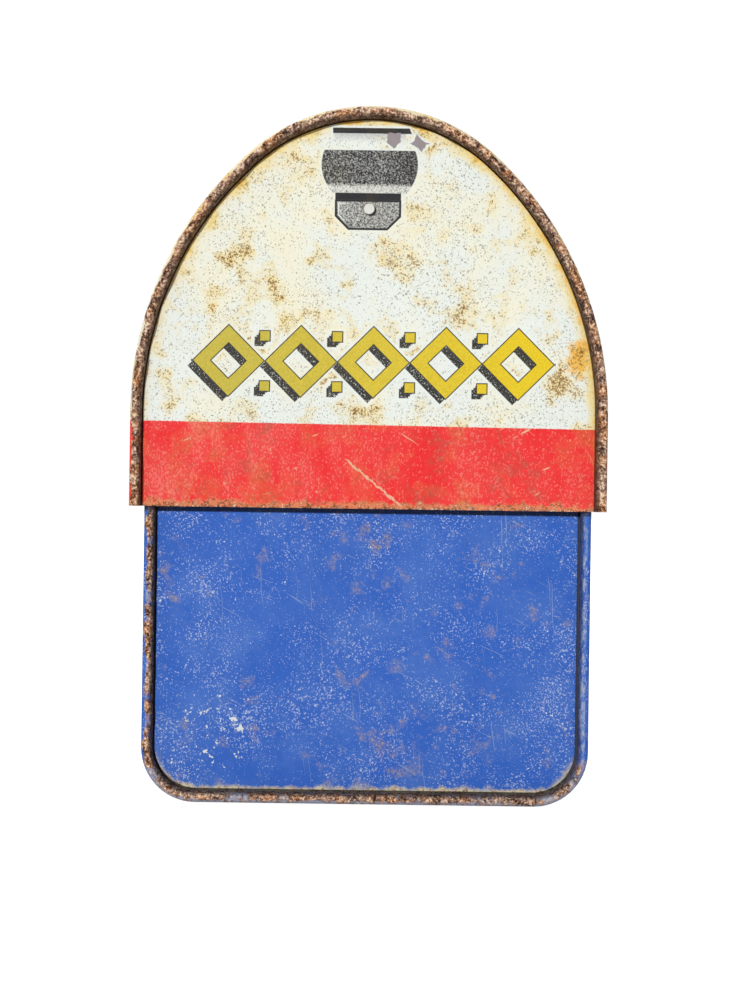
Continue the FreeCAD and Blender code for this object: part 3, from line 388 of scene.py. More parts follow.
def makeLockPrint():
    # the grey picture of a drop-box lever with its riveted plate
    p = lockPrint
    given, sink = startGroup(
        "leverPicture", {"Vector": ("vector", None), "Paper": ("colour", srgb(240, 238, 220))},
        {"Colour": "colour", "Clean": "value"},
    )
    x, y, z = axes(given["Vector"])
    x = x - p["middle"]
    grain = noiseAt(given["Vector"], 0.42, 2.0, 0.8)
    # the drawn slot above the lever, with a cut right end and a shadow that fades downwards
    slotLow, slotHigh = p["slotHeight"] - p["slotHalf"], p["slotHeight"] + p["slotHalf"]
    slot = larger(larger(p["slotLeft"] - x, x - p["slotRight"]), abs(z - p["slotHeight"]) - p["slotHalf"])
    slot = larger(slot, (x - p["slotRight"]) + (z - slotHigh) * 0.45 + 0.65)
    fade = remap(z, slotLow - p["slotShadow"], slotLow, 0.0, 0.75)
    fade = fade * inside(abs(x) - 9.2, 0.8) * inside(z - slotLow - 0.1)
    # the rounded block of the lever, with a light foot
    narrowing = (z - p["blockWidest"]) * (z - p["blockWidest"]) * p["blockRound"]
    block = larger(larger(abs(x) + narrowing - p["blockHalf"], z - p["blockTop"]), p["blockFoot"] - z)
    foot = p["blockFoot"] + p["footHeight"]
    blockTone = remap(z, foot + 0.6, foot - 0.3, 0.08, 0.78) - remap(x, 4.0, 10.0, 0.0, 0.1)
    blockTone = (blockTone + (grain - p["grainMiddle"]) * p["blockGrain"]).calc("ADD", 0.0, clamp=True)
    # neck and plate
    shifted = abs(x - p["plateLean"])
    neck = larger(shifted - p["plateHalf"], abs(z - (p["neckFoot"] + p["blockFoot"]) / 2) - 0.9)
    plate = larger(larger(shifted - p["plateHalf"], p["plateFoot"] - z), z - p["neckFoot"])
    plate = larger(plate, (shifted - 5.0) * 0.72 + (p["plateFoot"] - z) * 0.72)
    plateTone = remap(z, p["plateFoot"], p["neckFoot"], 0.30, 0.40)
    plateTone = (plateTone + (grain - p["grainMiddle"]) * p["plateGrain"]).calc("ADD", 0.0, clamp=True)
    above = z - p["rivetHeight"]
    rivetAway = (x * x + above * above).calc("SQRT")
    shadeX, shadeZ = x - p["rivetShade"], above + p["rivetShade"]
    rivetShadow = (shadeX * shadeX + shadeZ * shadeZ).calc("SQRT")
    # two places where the ink has lifted
    (ax, az), (bx, bz) = p["firstPatch"], p["secondPatch"]
    shield = larger(larger(abs(x - ax), z - az), (az - z + abs(x - ax) * 0.8) * 0.8) - p["patchReach"]
    points = abs(x - bx + (z - bz) * 0.3).calc("POWER", 0.7) + abs(z - bz).calc("POWER", 0.7)
    patch = smaller(shield, points - p["patchReach"] - 0.25) + wobble(given["Vector"], 0.9, 2.0, 0.5, 0.9)
    # ink on paper, from the back to the front
    colour = blendColours(fade * remap(grain, 0.4, 0.6, 0.55, 1.0), given["Paper"], p["grey"])
    colour = blendColours(inside(slot), colour, p["ink"])
    colour = blendColours(inside(block), colour, blendColours(blockTone, p["ink"], p["light"]))
    colour = blendColours(inside(plate), colour, blendColours(plateTone, p["ink"], p["light"]))
    gleam = inside(abs(plate + p["line"] * 2.0) - 0.16) * remap(x, -5.5, -7.0)
    colour = blendColours(gleam, colour, p["light"])
    colour = blendColours(inside(abs(plate + 0.2) - p["line"] * 0.6), colour, p["ink"])
    colour = blendColours(inside(neck), colour, p["ink"])
    colour = blendColours(inside(rivetShadow - p["rivetRadius"] - 0.1), colour, p["ink"])
    colour = blendColours(inside(rivetAway - p["rivetRadius"]), colour, p["light"])
    colour = blendColours(inside(patch), colour, p["bare"])
    whole = smaller(smaller(smaller(slot, block), smaller(plate, neck)), patch)
    clean = larger(inside(whole - p["halo"], 0.3), fade)
    return finishGroup(sink, {"Colour": colour, "Clean": clean})


# a frieze of open diamonds takes the place of any wording, with small squares between them
frieze = dict(
    middle=0.9, height=113.4, count=5, pitch=18.5, reach=9.0, stroke=3.0, square=1.2, squareRise=6.4,
    shade=1.45, outline=0.28, halo=0.6,
    goldLeft=srgb(206, 188, 66), goldRight=srgb(238, 206, 18), ink=srgb(48, 46, 44),
)


def makeFriezeShape():
    # signed distance to the row of diamonds, in millimetres
    p = frieze
    slope = math.sqrt(0.5)
    given, sink = startGroup(
        "diamondFrieze", {"Vector": ("vector", None), "Offset": ("value", 0.0)}, {"Distance": "value"},
    )
    x, y, z = axes(given["Vector"])
    half = p["pitch"] * p["count"] / 2
    x = x + given["Offset"] - p["middle"] + half
    rise = abs(z + given["Offset"] - p["height"])
    along = abs(x.calc("WRAP", p["pitch"], 0.0) - p["pitch"] / 2)
    outer = (along + rise - p["reach"]) * slope
    ring = larger(outer, outer * -1.0 - p["stroke"])
    ends = abs(x - half)
    row = larger(ring, ends - half)
    gap = abs((x + p["pitch"] / 2).calc("WRAP", p["pitch"], 0.0) - p["pitch"] / 2)
    squares = larger(gap - p["square"], abs(rise - p["squareRise"]) - p["square"])
    squares = larger(squares, ends - p["pitch"] * (p["count"] - 1) / 2)
    return finishGroup(sink, {"Distance": smaller(row, squares)})


friezeShape = makeFriezeShape()


def makeFriezePrint():
    # gold diamonds with a dark outline and a worn black shade that falls to the lower left
    p = frieze
    given, sink = startGroup(
        "friezePicture", {"Vector": ("vector", None), "Paper": ("colour", srgb(240, 238, 220))},
        {"Colour": "colour", "Clean": "value"},
    )
    vector = given["Vector"]
    face = place(friezeShape, vector)["Distance"]
    shade = face
    for step in (0.34, 0.67, 1.0):
        shade = smaller(shade, place(friezeShape, vector, Offset=p["shade"] * step)["Distance"])
    x, y, z = axes(vector)
    grain = noiseAt(vector, 0.4, 2.0, 0.85)
    gold = blendColours(remap(x, -30.0, 38.0), p["goldLeft"], p["goldRight"])
    gold = brighten(gold, 0.78 + remap(grain, 0.3, 0.62) * 0.24)
    worn = blendColours(remap(grain, 0.60, 0.66), p["ink"], given["Paper"])
    colour = blendColours(inside(shade), given["Paper"], worn)
    colour = blendColours(inside(face - p["outline"], 0.1), colour, p["ink"])
    colour = blendColours(inside(face), colour, gold)
    return finishGroup(sink, {"Colour": colour, "Clean": inside(shade - p["halo"] - p["outline"], 0.3)})


leverPicture = makeLockPrint()
friezePicture = makeFriezePrint()
print("shader groups ready")


def pricked(vector, size, level, crowd, pull):
    return place(pricks, vector, Size=size, Level=level, Crowd=crowd, Crowd_Pull=pull)["Mask"]


def scratched(vector, angle, width, length, cover):
    return place(scratches, vector, Angle=angle, Width=width, Length=length, Cover=cover)["Mask"]


def wornStrip(vector, distance, reach, rag, ragSize, soft):
    strip = place(wornEdge, vector, Distance=distance, Reach=reach, Rag=rag, Rag_Size=ragSize, Soft=soft)
    return strip["Mask"]


# finishes

def startMaterial(name):
    # a material and its object coordinates in millimetres
    material = bpy.data.materials.new(name)
    material.use_nodes = True
    tree = material.node_tree
    where = tree.nodes.new("ShaderNodeTexCoord")
    scaled = tree.nodes.new("ShaderNodeVectorMath")
    scaled.operation = "SCALE"
    tree.links.new(where.outputs["Object"], scaled.inputs[0])
    scaled.inputs["Scale"].default_value = 1 / mm
    return material, Wire(tree, scaled.outputs[0])


def feedShader(material, **sockets):
    # feeds the shader's own sockets, named with _ for a space
    shader = material.node_tree.nodes["Principled BSDF"]
    for label, value in sockets.items():
        feed(shader.inputs[label.replace("_", " ")], value)


def addBump(material, height, depth):
    # depth is in millimetres
    tree = material.node_tree
    bump = tree.nodes.new("ShaderNodeBump")
    bump.inputs["Distance"].default_value = depth * mm
    feed(bump.inputs["Height"], height)
    feedShader(material, Normal=Wire(tree, bump.outputs["Normal"]))


def storedOn(vector, name):
    # a distance kept on the mesh's vertices
    node = vector.tree.nodes.new("ShaderNodeAttribute")
    node.attribute_name = name
    return Wire(vector.tree, node.outputs["Fac"])


lidPaint = dict(
    red=srgb(238, 28, 32), pinkSpeckle=srgb(244, 138, 124),
    warmWhite=srgb(240, 236, 212), coolWhite=srgb(232, 237, 230),
    darkPrick=srgb(118, 112, 78), rustPrick=srgb(136, 80, 28), stain=srgb(240, 212, 118),
    orange=srgb(244, 180, 54), scratch=srgb(238, 200, 164), smudge=srgb(170, 84, 62),
    mouthWear=srgb(226, 150, 96), grimeAndShade=srgb(50, 34, 28),
    redTop=97.4, redLean=0.007, pictureSplit=141.0, inkShield=0.97, plainAging=0.35,
    bigStain=(53.4, 115.0), bigStainReach=(3.4, 5.0), scrape=(1.4, 82.6), scrapeSlope=0.82, scrapeReach=7.2,
    longScratch=(0.0, math.radians(52), 0.0), shortScratch=(0.0, math.radians(118), 0.0),
    roughness=0.58, dullGloss=0.25, bump=0.14,
)


def paintTin(name, printed):
    # lithographed white and red tin of the lid
    p = lidPaint
    material, vector = startMaterial(name)
    x, y, z = axes(vector)
    rim = storedOn(vector, "rimDistance")
    mouth = storedOn(vector, "mouthDistance")
    tone = place(handledTone, vector, Broad=0.03, Fine=0.09, Grain_Size=0.5)
    redArea = inside(z + x * p["redLean"] + wobble(vector, 0.7, 2.0, 0.6, 0.35) - p["redTop"], 0.2)
    whiteArea = 1 - redArea
    cool = remap(noiseAt(moved(vector, offset=(50.0, 3.0, 8.0)), 16.0, 3.0, 0.6), 0.32, 0.56)
    white = brighten(blendColours(cool, p["warmWhite"], p["coolWhite"]), tone["Tone"])
    streaks = remap(noiseAt(moved(vector, scale=(1.0, 1.0, 0.35)), 7.0, 4.0, 0.6), 0.38, 0.64)
    streaks = streaks * remap(x, 30.0, -50.0, 0.45, 1.0)
    mottle = pricked(moved(vector, scale=(1.0, 1.0, 0.7)), 0.2, 0.62, streaks, 0.14) * 0.6
    red = blendColours(larger(mottle, streaks * 0.22), p["red"], p["pinkSpeckle"])
    red = brighten(red, 0.5 + tone["Tone"] * 0.5)
    paper, away = white, 1.0  # away keeps stains off the printed ink
    if printed:
        lever = place(leverPicture, vector, Paper=white)
        row = place(friezePicture, vector, Paper=white)
        paper = blendColours(inside(z - p["pictureSplit"]), lever["Colour"], row["Colour"])
        away = 1 - larger(lever["Clean"], row["Clean"]) * p["inkShield"]
    colour = blendColours(redArea, paper, red)
    # pricks through the varnish: grey-green where sparse, brown where they crowd in yellow stains
    island = place(islands, vector, Size=6.5, Level=0.545, Fade=0.15)
    haze = noiseAt(moved(vector, offset=(9.0, 3.0, 70.0)), 18.0, 3.0, 0.6)
    (stainX, stainZ), (wide, tall) = p["bigStain"], p["bigStainReach"]
    big = (abs(x - stainX) / wide).calc("POWER", 2.0) + (abs(z - stainZ) / tall).calc("POWER", 2.0)
    big = remap(big + wobble(vector, 3.0, 5.0, 0.8, 3.4), 1.2, 0.2) * away
    crowd = island["Crowd"] + remap(haze, 0.38, 0.6, 0.0, 0.35) + big * 0.5
    fine = pricked(vector, 0.19, 0.64, crowd, 0.12)
    colour = blendColours(larger(island["Stain"], big) * away * (0.1 + whiteArea * 0.6), colour, p["stain"])
    colour = blendColours(big * 0.9, colour, p["orange"])
    prickColour = blendColours(island["Stain"], p["darkPrick"], p["rustPrick"])
    colour = blendColours(fine * away * (0.12 + whiteArea * 0.6), colour, prickColour)
    rust = place(rustSkin, vector, Lump_Size=1.8, Crumbs=0.62)
    dots = pricked(vector, 0.36, 0.76, island["Crowd"], 0.2) * away * (0.3 + whiteArea * 0.6)
    colour = blendColours(dots * 0.9, colour, p["rustPrick"])
    # pale scratches, plain on the red and hardly seen on the white
    scratch = scratched(vector, p["longScratch"], 0.5, 9.0, 0.4)
    scratch = larger(scratch, scratched(vector, p["shortScratch"], 0.4, 3.0, 0.38))
    chips = pricked(vector, 0.9, 0.74, streaks, 0.1)
    # one long torn scrape that runs down to the right
    across = x - p["scrape"][0]
    down = (p["scrape"][1] - z) - across * p["scrapeSlope"]
    scrape = inside(abs(down + wobble(vector, 1.6, 4.0, 0.75, 2.6)) - 0.34, 0.2)
    scrape = scrape * inside(abs(across) - p["scrapeReach"], 0.5)
    scratch = larger(scratch, larger(chips * 0.6, scrape)) * (0.04 + redArea * 0.72)
    colour = blendColours(scratch, colour, p["scratch"])
    smudge = remap(noiseAt(moved(vector, offset=(0.0, 8.0, 55.0)), 8.0, 4.0, 0.75), 0.54, 0.7)
    colour = blendColours(smudge * redArea * 0.55, colour, p["smudge"])
    # edges: a yellowed strip, then ragged rust, then the bare rolled seam
    aged = remap(x * 0.7 + z * 0.3, -28.0, 34.0, 0.25, 0.9) * away * (1.0 if printed else p["plainAging"])
    yellowed = wornStrip(vector, rim, 4.4, 4.2, 6.0, 2.6)
    colour = blendColours(yellowed * whiteArea * aged * 0.8, colour, p["stain"])
    deep = wornStrip(vector, rim, 3.1, 3.2, 4.0, 1.3)
    colour = blendColours(deep * aged * (0.2 + whiteArea * 0.6), colour, p["orange"])
    mouthPale = wornStrip(vector, mouth, 1.6, 2.8, 2.6, 0.9)
    colour = blendColours(mouthPale * 0.65, colour, p["mouthWear"])
    flecks = pricked(vector, 0.3, 0.56, mouthPale, 0.04) * mouthPale
    rimRust = wornStrip(vector, rim, 0.68 + remap(x, 30.0, 60.0, 0.0, 0.7), 1.7, 5.0, 0.3)
    mouthRust = wornStrip(vector, mouth, 0.2, 1.6, 1.4, 0.4)
    rustMask = larger(larger(rimRust, mouthRust * 0.9), flecks * 0.7)
    colour = blendColours(rustMask, colour, rust["Colour"])
    # grime and painted shade in the groove round the panel and on the seam's inner side
    colour = blendColours(storedOn(vector, "grooveGrimeAndShade") * 0.9, colour, p["grimeAndShade"])
    rustMask = larger(rustMask, dots)
    roughness = p["roughness"] + rustMask * 0.35 + scratch * 0.1 + (tone["Tone"] - 1.0) * 0.8
    feedShader(material, Base_Color=colour, Roughness=roughness, Specular_IOR_Level=p["dullGloss"])
    height = rustMask * (0.3 + rust["Height"] * 1.4) - scratch * 0.5 + tone["Height"] * 0.3 - fine * 0.25
    addBump(material, height, p["bump"])
    return material


basePaint = dict(
    blue=srgb(38, 93, 187), fadedBlue=srgb(92, 130, 200), dust=srgb(206, 216, 232),
    grit=srgb(222, 228, 238), chip=srgb(226, 230, 226), smudge=srgb(178, 158, 138),
    scratch=srgb(176, 190, 210), paintedBendHighlight=srgb(178, 190, 206), bottomPale=srgb(232, 218, 170),
    crest=srgb(196, 198, 198), grimeAndShade=srgb(30, 24, 26),
    chipCorner=(-40.0, 17.0), chipReach=(14.0, 13.0), lidEdgeShadowLine=75.0,
    uprightScratch=(0.0, math.radians(4), 0.0), slantScratch=(0.0, math.radians(62), 0.0),
    roughness=0.6, dullGloss=0.25, bump=0.14,
)


def blueTin(name):
    p = basePaint
    material, vector = startMaterial(name)
    x, y, z = axes(vector)
    rim = storedOn(vector, "rimDistance")
    mouth = storedOn(vector, "mouthDistance")
    tone = place(handledTone, vector, Broad=0.05, Fine=0.12, Grain_Size=0.7)
    fading = remap(noiseAt(vector, 14.0, 5.0, 0.68), 0.42, 0.70, 0.0, 0.42)
    colour = brighten(blendColours(fading, p["blue"], p["fadedBlue"]), tone["Tone"])
    # fine pale specks in drifts, then larger chips, most of them low on the left
    drift = remap(noiseAt(moved(vector, offset=(4.0, 9.0, 33.0)), 16.0, 4.0, 0.65), 0.36, 0.66)
    dust = pricked(vector, 0.19, 0.68, drift, 0.14)
    colour = blendColours(dust * 0.55, colour, p["dust"])
    grit = pricked(moved(vector, offset=(8.0, 1.0, 3.0)), 0.34, 0.76, drift, 0.11)
    colour = blendColours(grit * 0.9, colour, p["grit"])
    (cornerX, cornerZ), (wide, tall) = p["chipCorner"], p["chipReach"]
    corner = larger(abs(x - cornerX) - wide, abs(z - cornerZ) - tall)
    crowd = larger(remap(corner, -8.0, 5.0, 1.0, 0.0), remap(drift, 0.6, 1.0, 0.0, 0.55))
    chips = pricked(vector, 0.75, 0.80, crowd, 0.19)
    chipMask = larger(chips, grit * 0.5)
    colour = blendColours(chips * 0.92, colour, p["chip"])
    smudge = place(islands, moved(vector, offset=(60.0, 2.0, 5.0)), Size=5.0, Level=0.64, Fade=0.1)
    speckled = remap(noiseAt(vector, 0.6, 2.0, 0.8), 0.42, 0.6, 0.1, 0.7)
    colour = blendColours(smudge["Stain"] * speckled, colour, p["smudge"])
    upright = scratched(vector, p["uprightScratch"], 0.22, 14.0, 0.26)
    scratch = larger(upright, scratched(vector, p["slantScratch"], 0.22, 4.5, 0.28))
    colour = blendColours(scratch * 0.35, colour, p["scratch"])
    rust = place(rustSkin, vector, Lump_Size=1.4, Crumbs=0.6)
    # a pale, half rusted strip along the bottom, and a thin painted highlight where the panel bends
    low = remap(z, 13.0, 5.0)
    onPanel = inside(2.2 - rim, 0.3)
    bendHighlight = wornStrip(vector, rim, 2.9, 0.5, 2.0, 0.4)
    colour = blendColours(bendHighlight * onPanel * 0.55, colour, p["paintedBendHighlight"])
    pale = wornStrip(vector, rim, 3.6, 2.4, 4.0, 1.3) * low
    colour = blendColours(pale * (0.4 + onPanel * 0.45), colour, p["bottomPale"])
    freckles = pricked(vector, 0.5, 0.56, drift, 0.08) * pale
    # the right-hand seam has kept its paint, with a pale crest that is partly worn paint and partly a painted
    # highlight
    sound = remap(x, 20.0, 45.0) * remap(z, 4.0, 18.0)
    crest = remap(noiseAt(moved(vector, scale=(1.0, 1.0, 0.4)), 0.9, 4.0, 0.8), 0.46, 0.62)
    crest = crest * inside(rim - 0.2, 0.4)
    colour = blendColours(crest * 0.65, colour, p["crest"])
    rimRust = wornStrip(vector, rim, 0.35 - sound * 1.2, 2.0, 4.0, 0.5)
    mouthRust = wornStrip(vector, mouth, 0.5, 1.6, 2.5, 0.5)
    rustMask = larger(larger(rimRust, mouthRust), larger(freckles * 0.8, smudge["Crowd"] * dust))
    colour = blendColours(rustMask, colour, rust["Colour"])
    # grime and painted shade in the seams, and grime with a painted shadow in the line where the lid's edge
    # rests
    lidEdgeShadowLine = remap(z, p["lidEdgeShadowLine"] - 0.5, p["lidEdgeShadowLine"]) * remap(z, p["lidEdgeShadowLine"] + 4.0, p["lidEdgeShadowLine"] + 1.5)
    grimeAndShadow = larger(storedOn(vector, "grooveGrimeAndShade") * 0.9, lidEdgeShadowLine * 0.75)
    colour = blendColours(grimeAndShadow, colour, p["grimeAndShade"])
    roughness = p["roughness"] + rustMask * 0.3 + chipMask * 0.1 + (tone["Tone"] - 1.0) * 0.5
    feedShader(material, Base_Color=colour, Roughness=roughness, Specular_IOR_Level=p["dullGloss"])
    height = rustMask * (0.3 + rust["Height"] * 1.4) - chipMask * 0.5 - scratch * 0.3 + tone["Height"] * 0.3
    addBump(material, height, p["bump"])
    return material


insideTin = dict(
    lacquer=srgb(176, 164, 132), bare=srgb(150, 150, 148), halo=srgb(150, 110, 66),
    metallic=0.8, roughness=0.36, bump=0.08,
)


def lacqueredTin(name):
    # the unprinted inside, under a thin yellowed lacquer
    p = insideTin
    material, vector = startMaterial(name)
    tone = place(handledTone, vector, Broad=0.12, Fine=0.06, Grain_Size=0.5)
    rolled = scratched(vector, (0.0, 0.0, math.radians(90)), 0.4, 30.0, 0.7)
    spots = place(specks, vector, Pitch=6.0, Size=0.6, Cover=0.5, Patch_Size=18.0, Patchiness=0.9, Halo=1.4)
    rust = place(rustSkin, vector)
    edge = wornStrip(vector, storedOn(vector, "mouthDistance"), 0.6, 1.8, 3.0, 0.6)
    colour = blendColours(remap(noiseAt(vector, 9.0, 3.0), 0.35, 0.65), p["lacquer"], p["bare"])
    colour = brighten(colour, tone["Tone"] + rolled * 0.12)
    colour = blendColours(spots["Halo"] * 0.5, colour, p["halo"])
    rustMask = larger(spots["Mask"], edge * 0.85)
    colour = blendColours(rustMask, colour, rust["Colour"])
    roughness = p["roughness"] + rustMask * 0.5 + rolled * 0.1
    feedShader(material, Base_Color=colour, Metallic=p["metallic"] - rustMask * 0.8, Roughness=roughness)
    addBump(material, rustMask * rust["Height"] + tone["Height"] * 0.2, p["bump"])
    return material


steel = dict(halo=srgb(120, 92, 66), drawnAngle=(0.3, 0.2, 0.9), metallic=0.95, bump=0.08)


def fittingSteel(name, metal, rustCover, gloss):
    # plated steel that has dulled, with rust that starts in dots and joins up
    p = steel
    material, vector = startMaterial(name)
    tone = place(handledTone, vector, Broad=0.12, Fine=0.1, Grain_Size=0.35)
    rust = place(rustSkin, vector, Lump_Size=0.8, Crumbs=0.35)
    dots = place(
        specks, vector, Pitch=2.0, Size=0.4, Cover=rustCover, Patch_Size=6.0, Patchiness=0.6, Halo=0.7,
    )
    spread = remap(noiseAt(vector, 4.5, 5.0, 0.7), 0.72 - rustCover * 0.25, 0.76 - rustCover * 0.22)
    rustMask = larger(dots["Mask"], spread)
    drawn = scratched(vector, p["drawnAngle"], 0.12, 6.0, 0.7)
    colour = blendColours(dots["Halo"] * 0.5, metal, p["halo"])
    colour = brighten(colour, tone["Tone"] + drawn * 0.15)
    colour = blendColours(rustMask, colour, rust["Colour"])
    roughness = gloss + rustMask * 0.5 + (tone["Tone"] - 1.0) * 0.8
    feedShader(material, Base_Color=colour, Metallic=p["metallic"] - rustMask * 0.9, Roughness=roughness)
    addBump(material, rustMask * (0.3 + rust["Height"]) - drawn * 0.3 + tone["Height"] * 0.3, p["bump"])
    return material


grip = dict(
    blue=srgb(34, 58, 120), scuff=srgb(96, 118, 160), dust=srgb(150, 146, 134), scuffAngle=(0.1, 0.5, 0.7),
    roughness=0.38, bump=0.06,
)


def mouldedPlastic(name):
    # the grip's dark blue plastic, scuffed and dusty
    p = grip
    material, vector = startMaterial(name)
    tone = place(handledTone, vector, Broad=0.1, Fine=0.05, Grain_Size=0.8)
    pebble = noiseAt(vector, 0.9, 2.0, 0.5)
    scuffs = scratched(vector, p["scuffAngle"], 0.2, 5.0, 0.75)
    dust = place(specks, vector, Pitch=1.4, Size=0.2, Cover=0.5, Patch_Size=6.0, Patchiness=0.7, Halo=0.4)
    dust = dust["Mask"]
    colour = brighten(blendColours(scuffs * 0.4, p["blue"], p["scuff"]), tone["Tone"])
    colour = blendColours(dust * 0.5, colour, p["dust"])
    feedShader(material, Base_Color=colour, Roughness=p["roughness"] + scuffs * 0.25 + dust * 0.2)
    addBump(material, pebble * 0.5 - scuffs * 0.4, p["bump"])
    return material


lidPrinted = paintTin("lidEndPaint", True)
lidPlain = paintTin("lidWrapPaint", False)
bluePaint = blueTin("baseBluePaint")
tinInside = lacqueredTin("lacqueredInside")
dullPlate = fittingSteel("dulledPlate", srgb(150, 146, 138), 0.55, 0.42)
pinSteel = fittingSteel("pinSteel", srgb(120, 116, 110), 0.75, 0.45)
rivetSteel = fittingSteel("rivetSteel", srgb(172, 168, 160), 0.4, 0.35)
wireSteel = fittingSteel("wireSteel", srgb(160, 156, 148), 0.45, 0.34)
gripBlue = mouldedPlastic("gripBluePlastic")
print("finishes ready")


# the two outlines of the box, walked from one mouth to the other

def straight(start, end, normal, pitch):
    length = math.dist(start, end)
    count = max(1, math.ceil(length / pitch))
    return [
        (start[0] + (end[0] - start[0]) * i / count, start[1] + (end[1] - start[1]) * i / count, *normal)
        for i in range(count)
    ]


def bent(centre, radius, first, last, pitch):
    # angles in degrees, from +X towards +Z
    count = max(4, math.ceil(abs(math.radians(last - first)) * radius / pitch))
    turns = [math.radians(first + (last - first) * i / count) for i in range(count)]
    return [
        (centre[0] + radius * math.cos(a), centre[1] + radius * math.sin(a), math.cos(a), math.sin(a))
        for a in turns
    ]


def lidOutline(pitch):
    w, r, spring, mouth = lid["halfWidth"], lid["flankRadius"], lid["spring"], lid["mouth"]
    rise = lid["top"] - spring
    crown = (w * w + rise * rise - 2 * w * r) / (2 * (rise - r))
    lean = r - w
    shoulder = math.degrees(math.atan2(lid["top"] - crown - spring, -lean))
    return (
        straight((-w, mouth), (-w, spring), (-1, 0), pitch)
        + bent((lean, spring), r, 180, shoulder, pitch)
        + bent((0, lid["top"] - crown), crown, shoulder, 180 - shoulder, pitch)
        + bent((-lean, spring), r, 180 - shoulder, 0, pitch)
        + straight((w, spring), (w, mouth), (1, 0), pitch)
        + [(w, mouth, 1, 0)]
    )


def baseOutline(pitch):
    w, r, mouth = base["halfWidth"], base["cornerRadius"], base["mouth"]
    return (
        straight((-w, mouth), (-w, r), (-1, 0), pitch)
        + bent((r - w, r), r, 180, 270, pitch)
        + straight((r - w, 0), (w - r, 0), (0, -1), pitch)
        + bent((w - r, r), r, 270, 360, pitch)
        + straight((w, r), (w, mouth), (1, 0), pitch)
        + [(w, mouth, 1, 0)]
    )


seam = dict(
    sheet=0.5, fold=1.3, gap=0.05, hook=2.0, depth=4.0, pitch=1.5, wallPitch=3.0, turns=8, grooveTurns=4,
    hookTurns=6, hemHeight=5.0, hemSetback=6.0, hemEdge=0.17, hemWear=9.0, grooveRound=0.2, rings=44,
    dent=0.28, dentScale=0.022, beadWobble=0.16, beadReach=4.0, beadScale=0.16, panelWave=0.3,
    waveScale=0.035, broadWaveScale=0.011, sharpAngle=38,
)
seatedFittings = (  # the fittings that lie flat on the tin
    "hinge_a_base_leaf", "hinge_b_base_leaf", "hinge_a_lid_leaf", "hinge_b_lid_leaf", "hasp_bracket", "catch",
    "handle_bracket_front", "handle_bracket_rear", "bottle_clip_bracket_front", "bottle_clip_bracket_rear",
    "bottle_clip_catch",
)
flatSpots = [boxInMm(name) for name in seatedFittings]


def grown(distance, start, reach, most=1.0):
    # nought up to start, then growing evenly over reach
    return min(most, max(0.0, distance - start) / reach)


def awayFromFittings(point):
    # 0 on a fitting's seat, growing to 1 at 8 mm from it
    nearest = min(
        math.dist(point, [min(max(point[i], low[i]), high[i]) for i in range(3)])
        for low, high in flatSpots
    )
    return grown(nearest, 1.0, 7)


def arc(centre, radius, first, last, turns):
    # section points (depth, setback) from one angle to another, in degrees
    angles = [math.radians(first + (last - first) * i / turns) for i in range(turns + 1)]
    return [(centre[0] + radius * math.cos(a), centre[1] + radius * math.sin(a)) for a in angles]


def seamPaths():
    # the wrapper's rolled seam as two skins, from the wall to the hook's end
    f, t = seam["fold"], seam["sheet"]

    def skin(radius):
        hook = [(f + radius, f + seam["hook"] / 2), (f + radius, f + seam["hook"])]
        return arc((f, f), radius, 180, 360, seam["turns"]) + hook

    return skin(f), skin(f - t)


def platePaths(grooveWidth, grooveDepth):
    # the end plate's edge as two skins: out of the panel, round the groove, up the flange and over the hook
    f, t, d, r = seam["fold"], seam["sheet"], seam["depth"], seam["grooveRound"]
    hookOuter = f - t - seam["gap"]
    flange = f + hookOuter
    shoulder = 2 * f + grooveWidth
    foot = d + grooveDepth

    def skin(shoulderRound, grooveRound, hookRadius):
        return (
            arc((shoulder + r, d + r), shoulderRound, 270, 180, seam["grooveTurns"])
            + arc((shoulder - r, foot - r), grooveRound, 0, 90, seam["grooveTurns"])
            + arc((flange + r, foot - r), grooveRound, 90, 180, seam["grooveTurns"])
            + arc((f, f), hookRadius, 0, -180, seam["hookTurns"]) + [(f - hookRadius, f + seam["hook"])]
        )

    outer, inner = skin(r, r, hookOuter), skin(max(0.05, r - t), r + t, hookOuter - t)
    inner[0] = (inner[0][0], d + t)
    return outer, inner


def beadNoise(station, side):
    scale = seam["beadScale"]
    return noise.noise(Vector((station[0] * scale, side * 7.0, station[1] * scale)))


class SheetMesh:
    # gathers the vertices of one sheet-metal piece, with the distances that its wear follows and a value for
    # grime and painted shade in the seam's groove
    def __init__(self):
        self.mesh = bmesh.new()
        self.rim = self.mesh.verts.layers.float.new("rimDistance")
        self.mouth = self.mesh.verts.layers.float.new("mouthDistance")
        self.grooveShadeAndGrime = self.mesh.verts.layers.float.new("grooveGrimeAndShade")

    def point(self, x, y, z, rim, mouth, grooveShadeAndGrime=0.0):
        vertex = self.mesh.verts.new((x * mm, y * mm, z * mm))
        vertex[self.rim] = rim
        vertex[self.mouth] = mouth
        vertex[self.grooveShadeAndGrime] = grooveShadeAndGrime
        return vertex

    def face(self, corners, slot):
        made = self.mesh.faces.new(corners)
        made.material_index = slot
        made.smooth = True

    def strip(self, first, second, slot):
        for a, b, c, d in zip(first, first[1:], second[1:], second):
            self.face((a, b, c, d), slot)

    def finish(self, name, body, materials, node):
        bmesh.ops.recalc_face_normals(self.mesh, faces=self.mesh.faces[:])
        data = bpy.data.meshes.new(name)
        self.mesh.to_mesh(data)
        self.mesh.free()
        piece = bpy.data.objects.new(name, data)
        bpy.context.scene.collection.objects.link(piece)
        for material in materials:
            data.materials.append(material)
        data.set_sharp_from_angle(angle=math.radians(seam["sharpAngle"]))
        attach(piece, body)
        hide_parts(node)


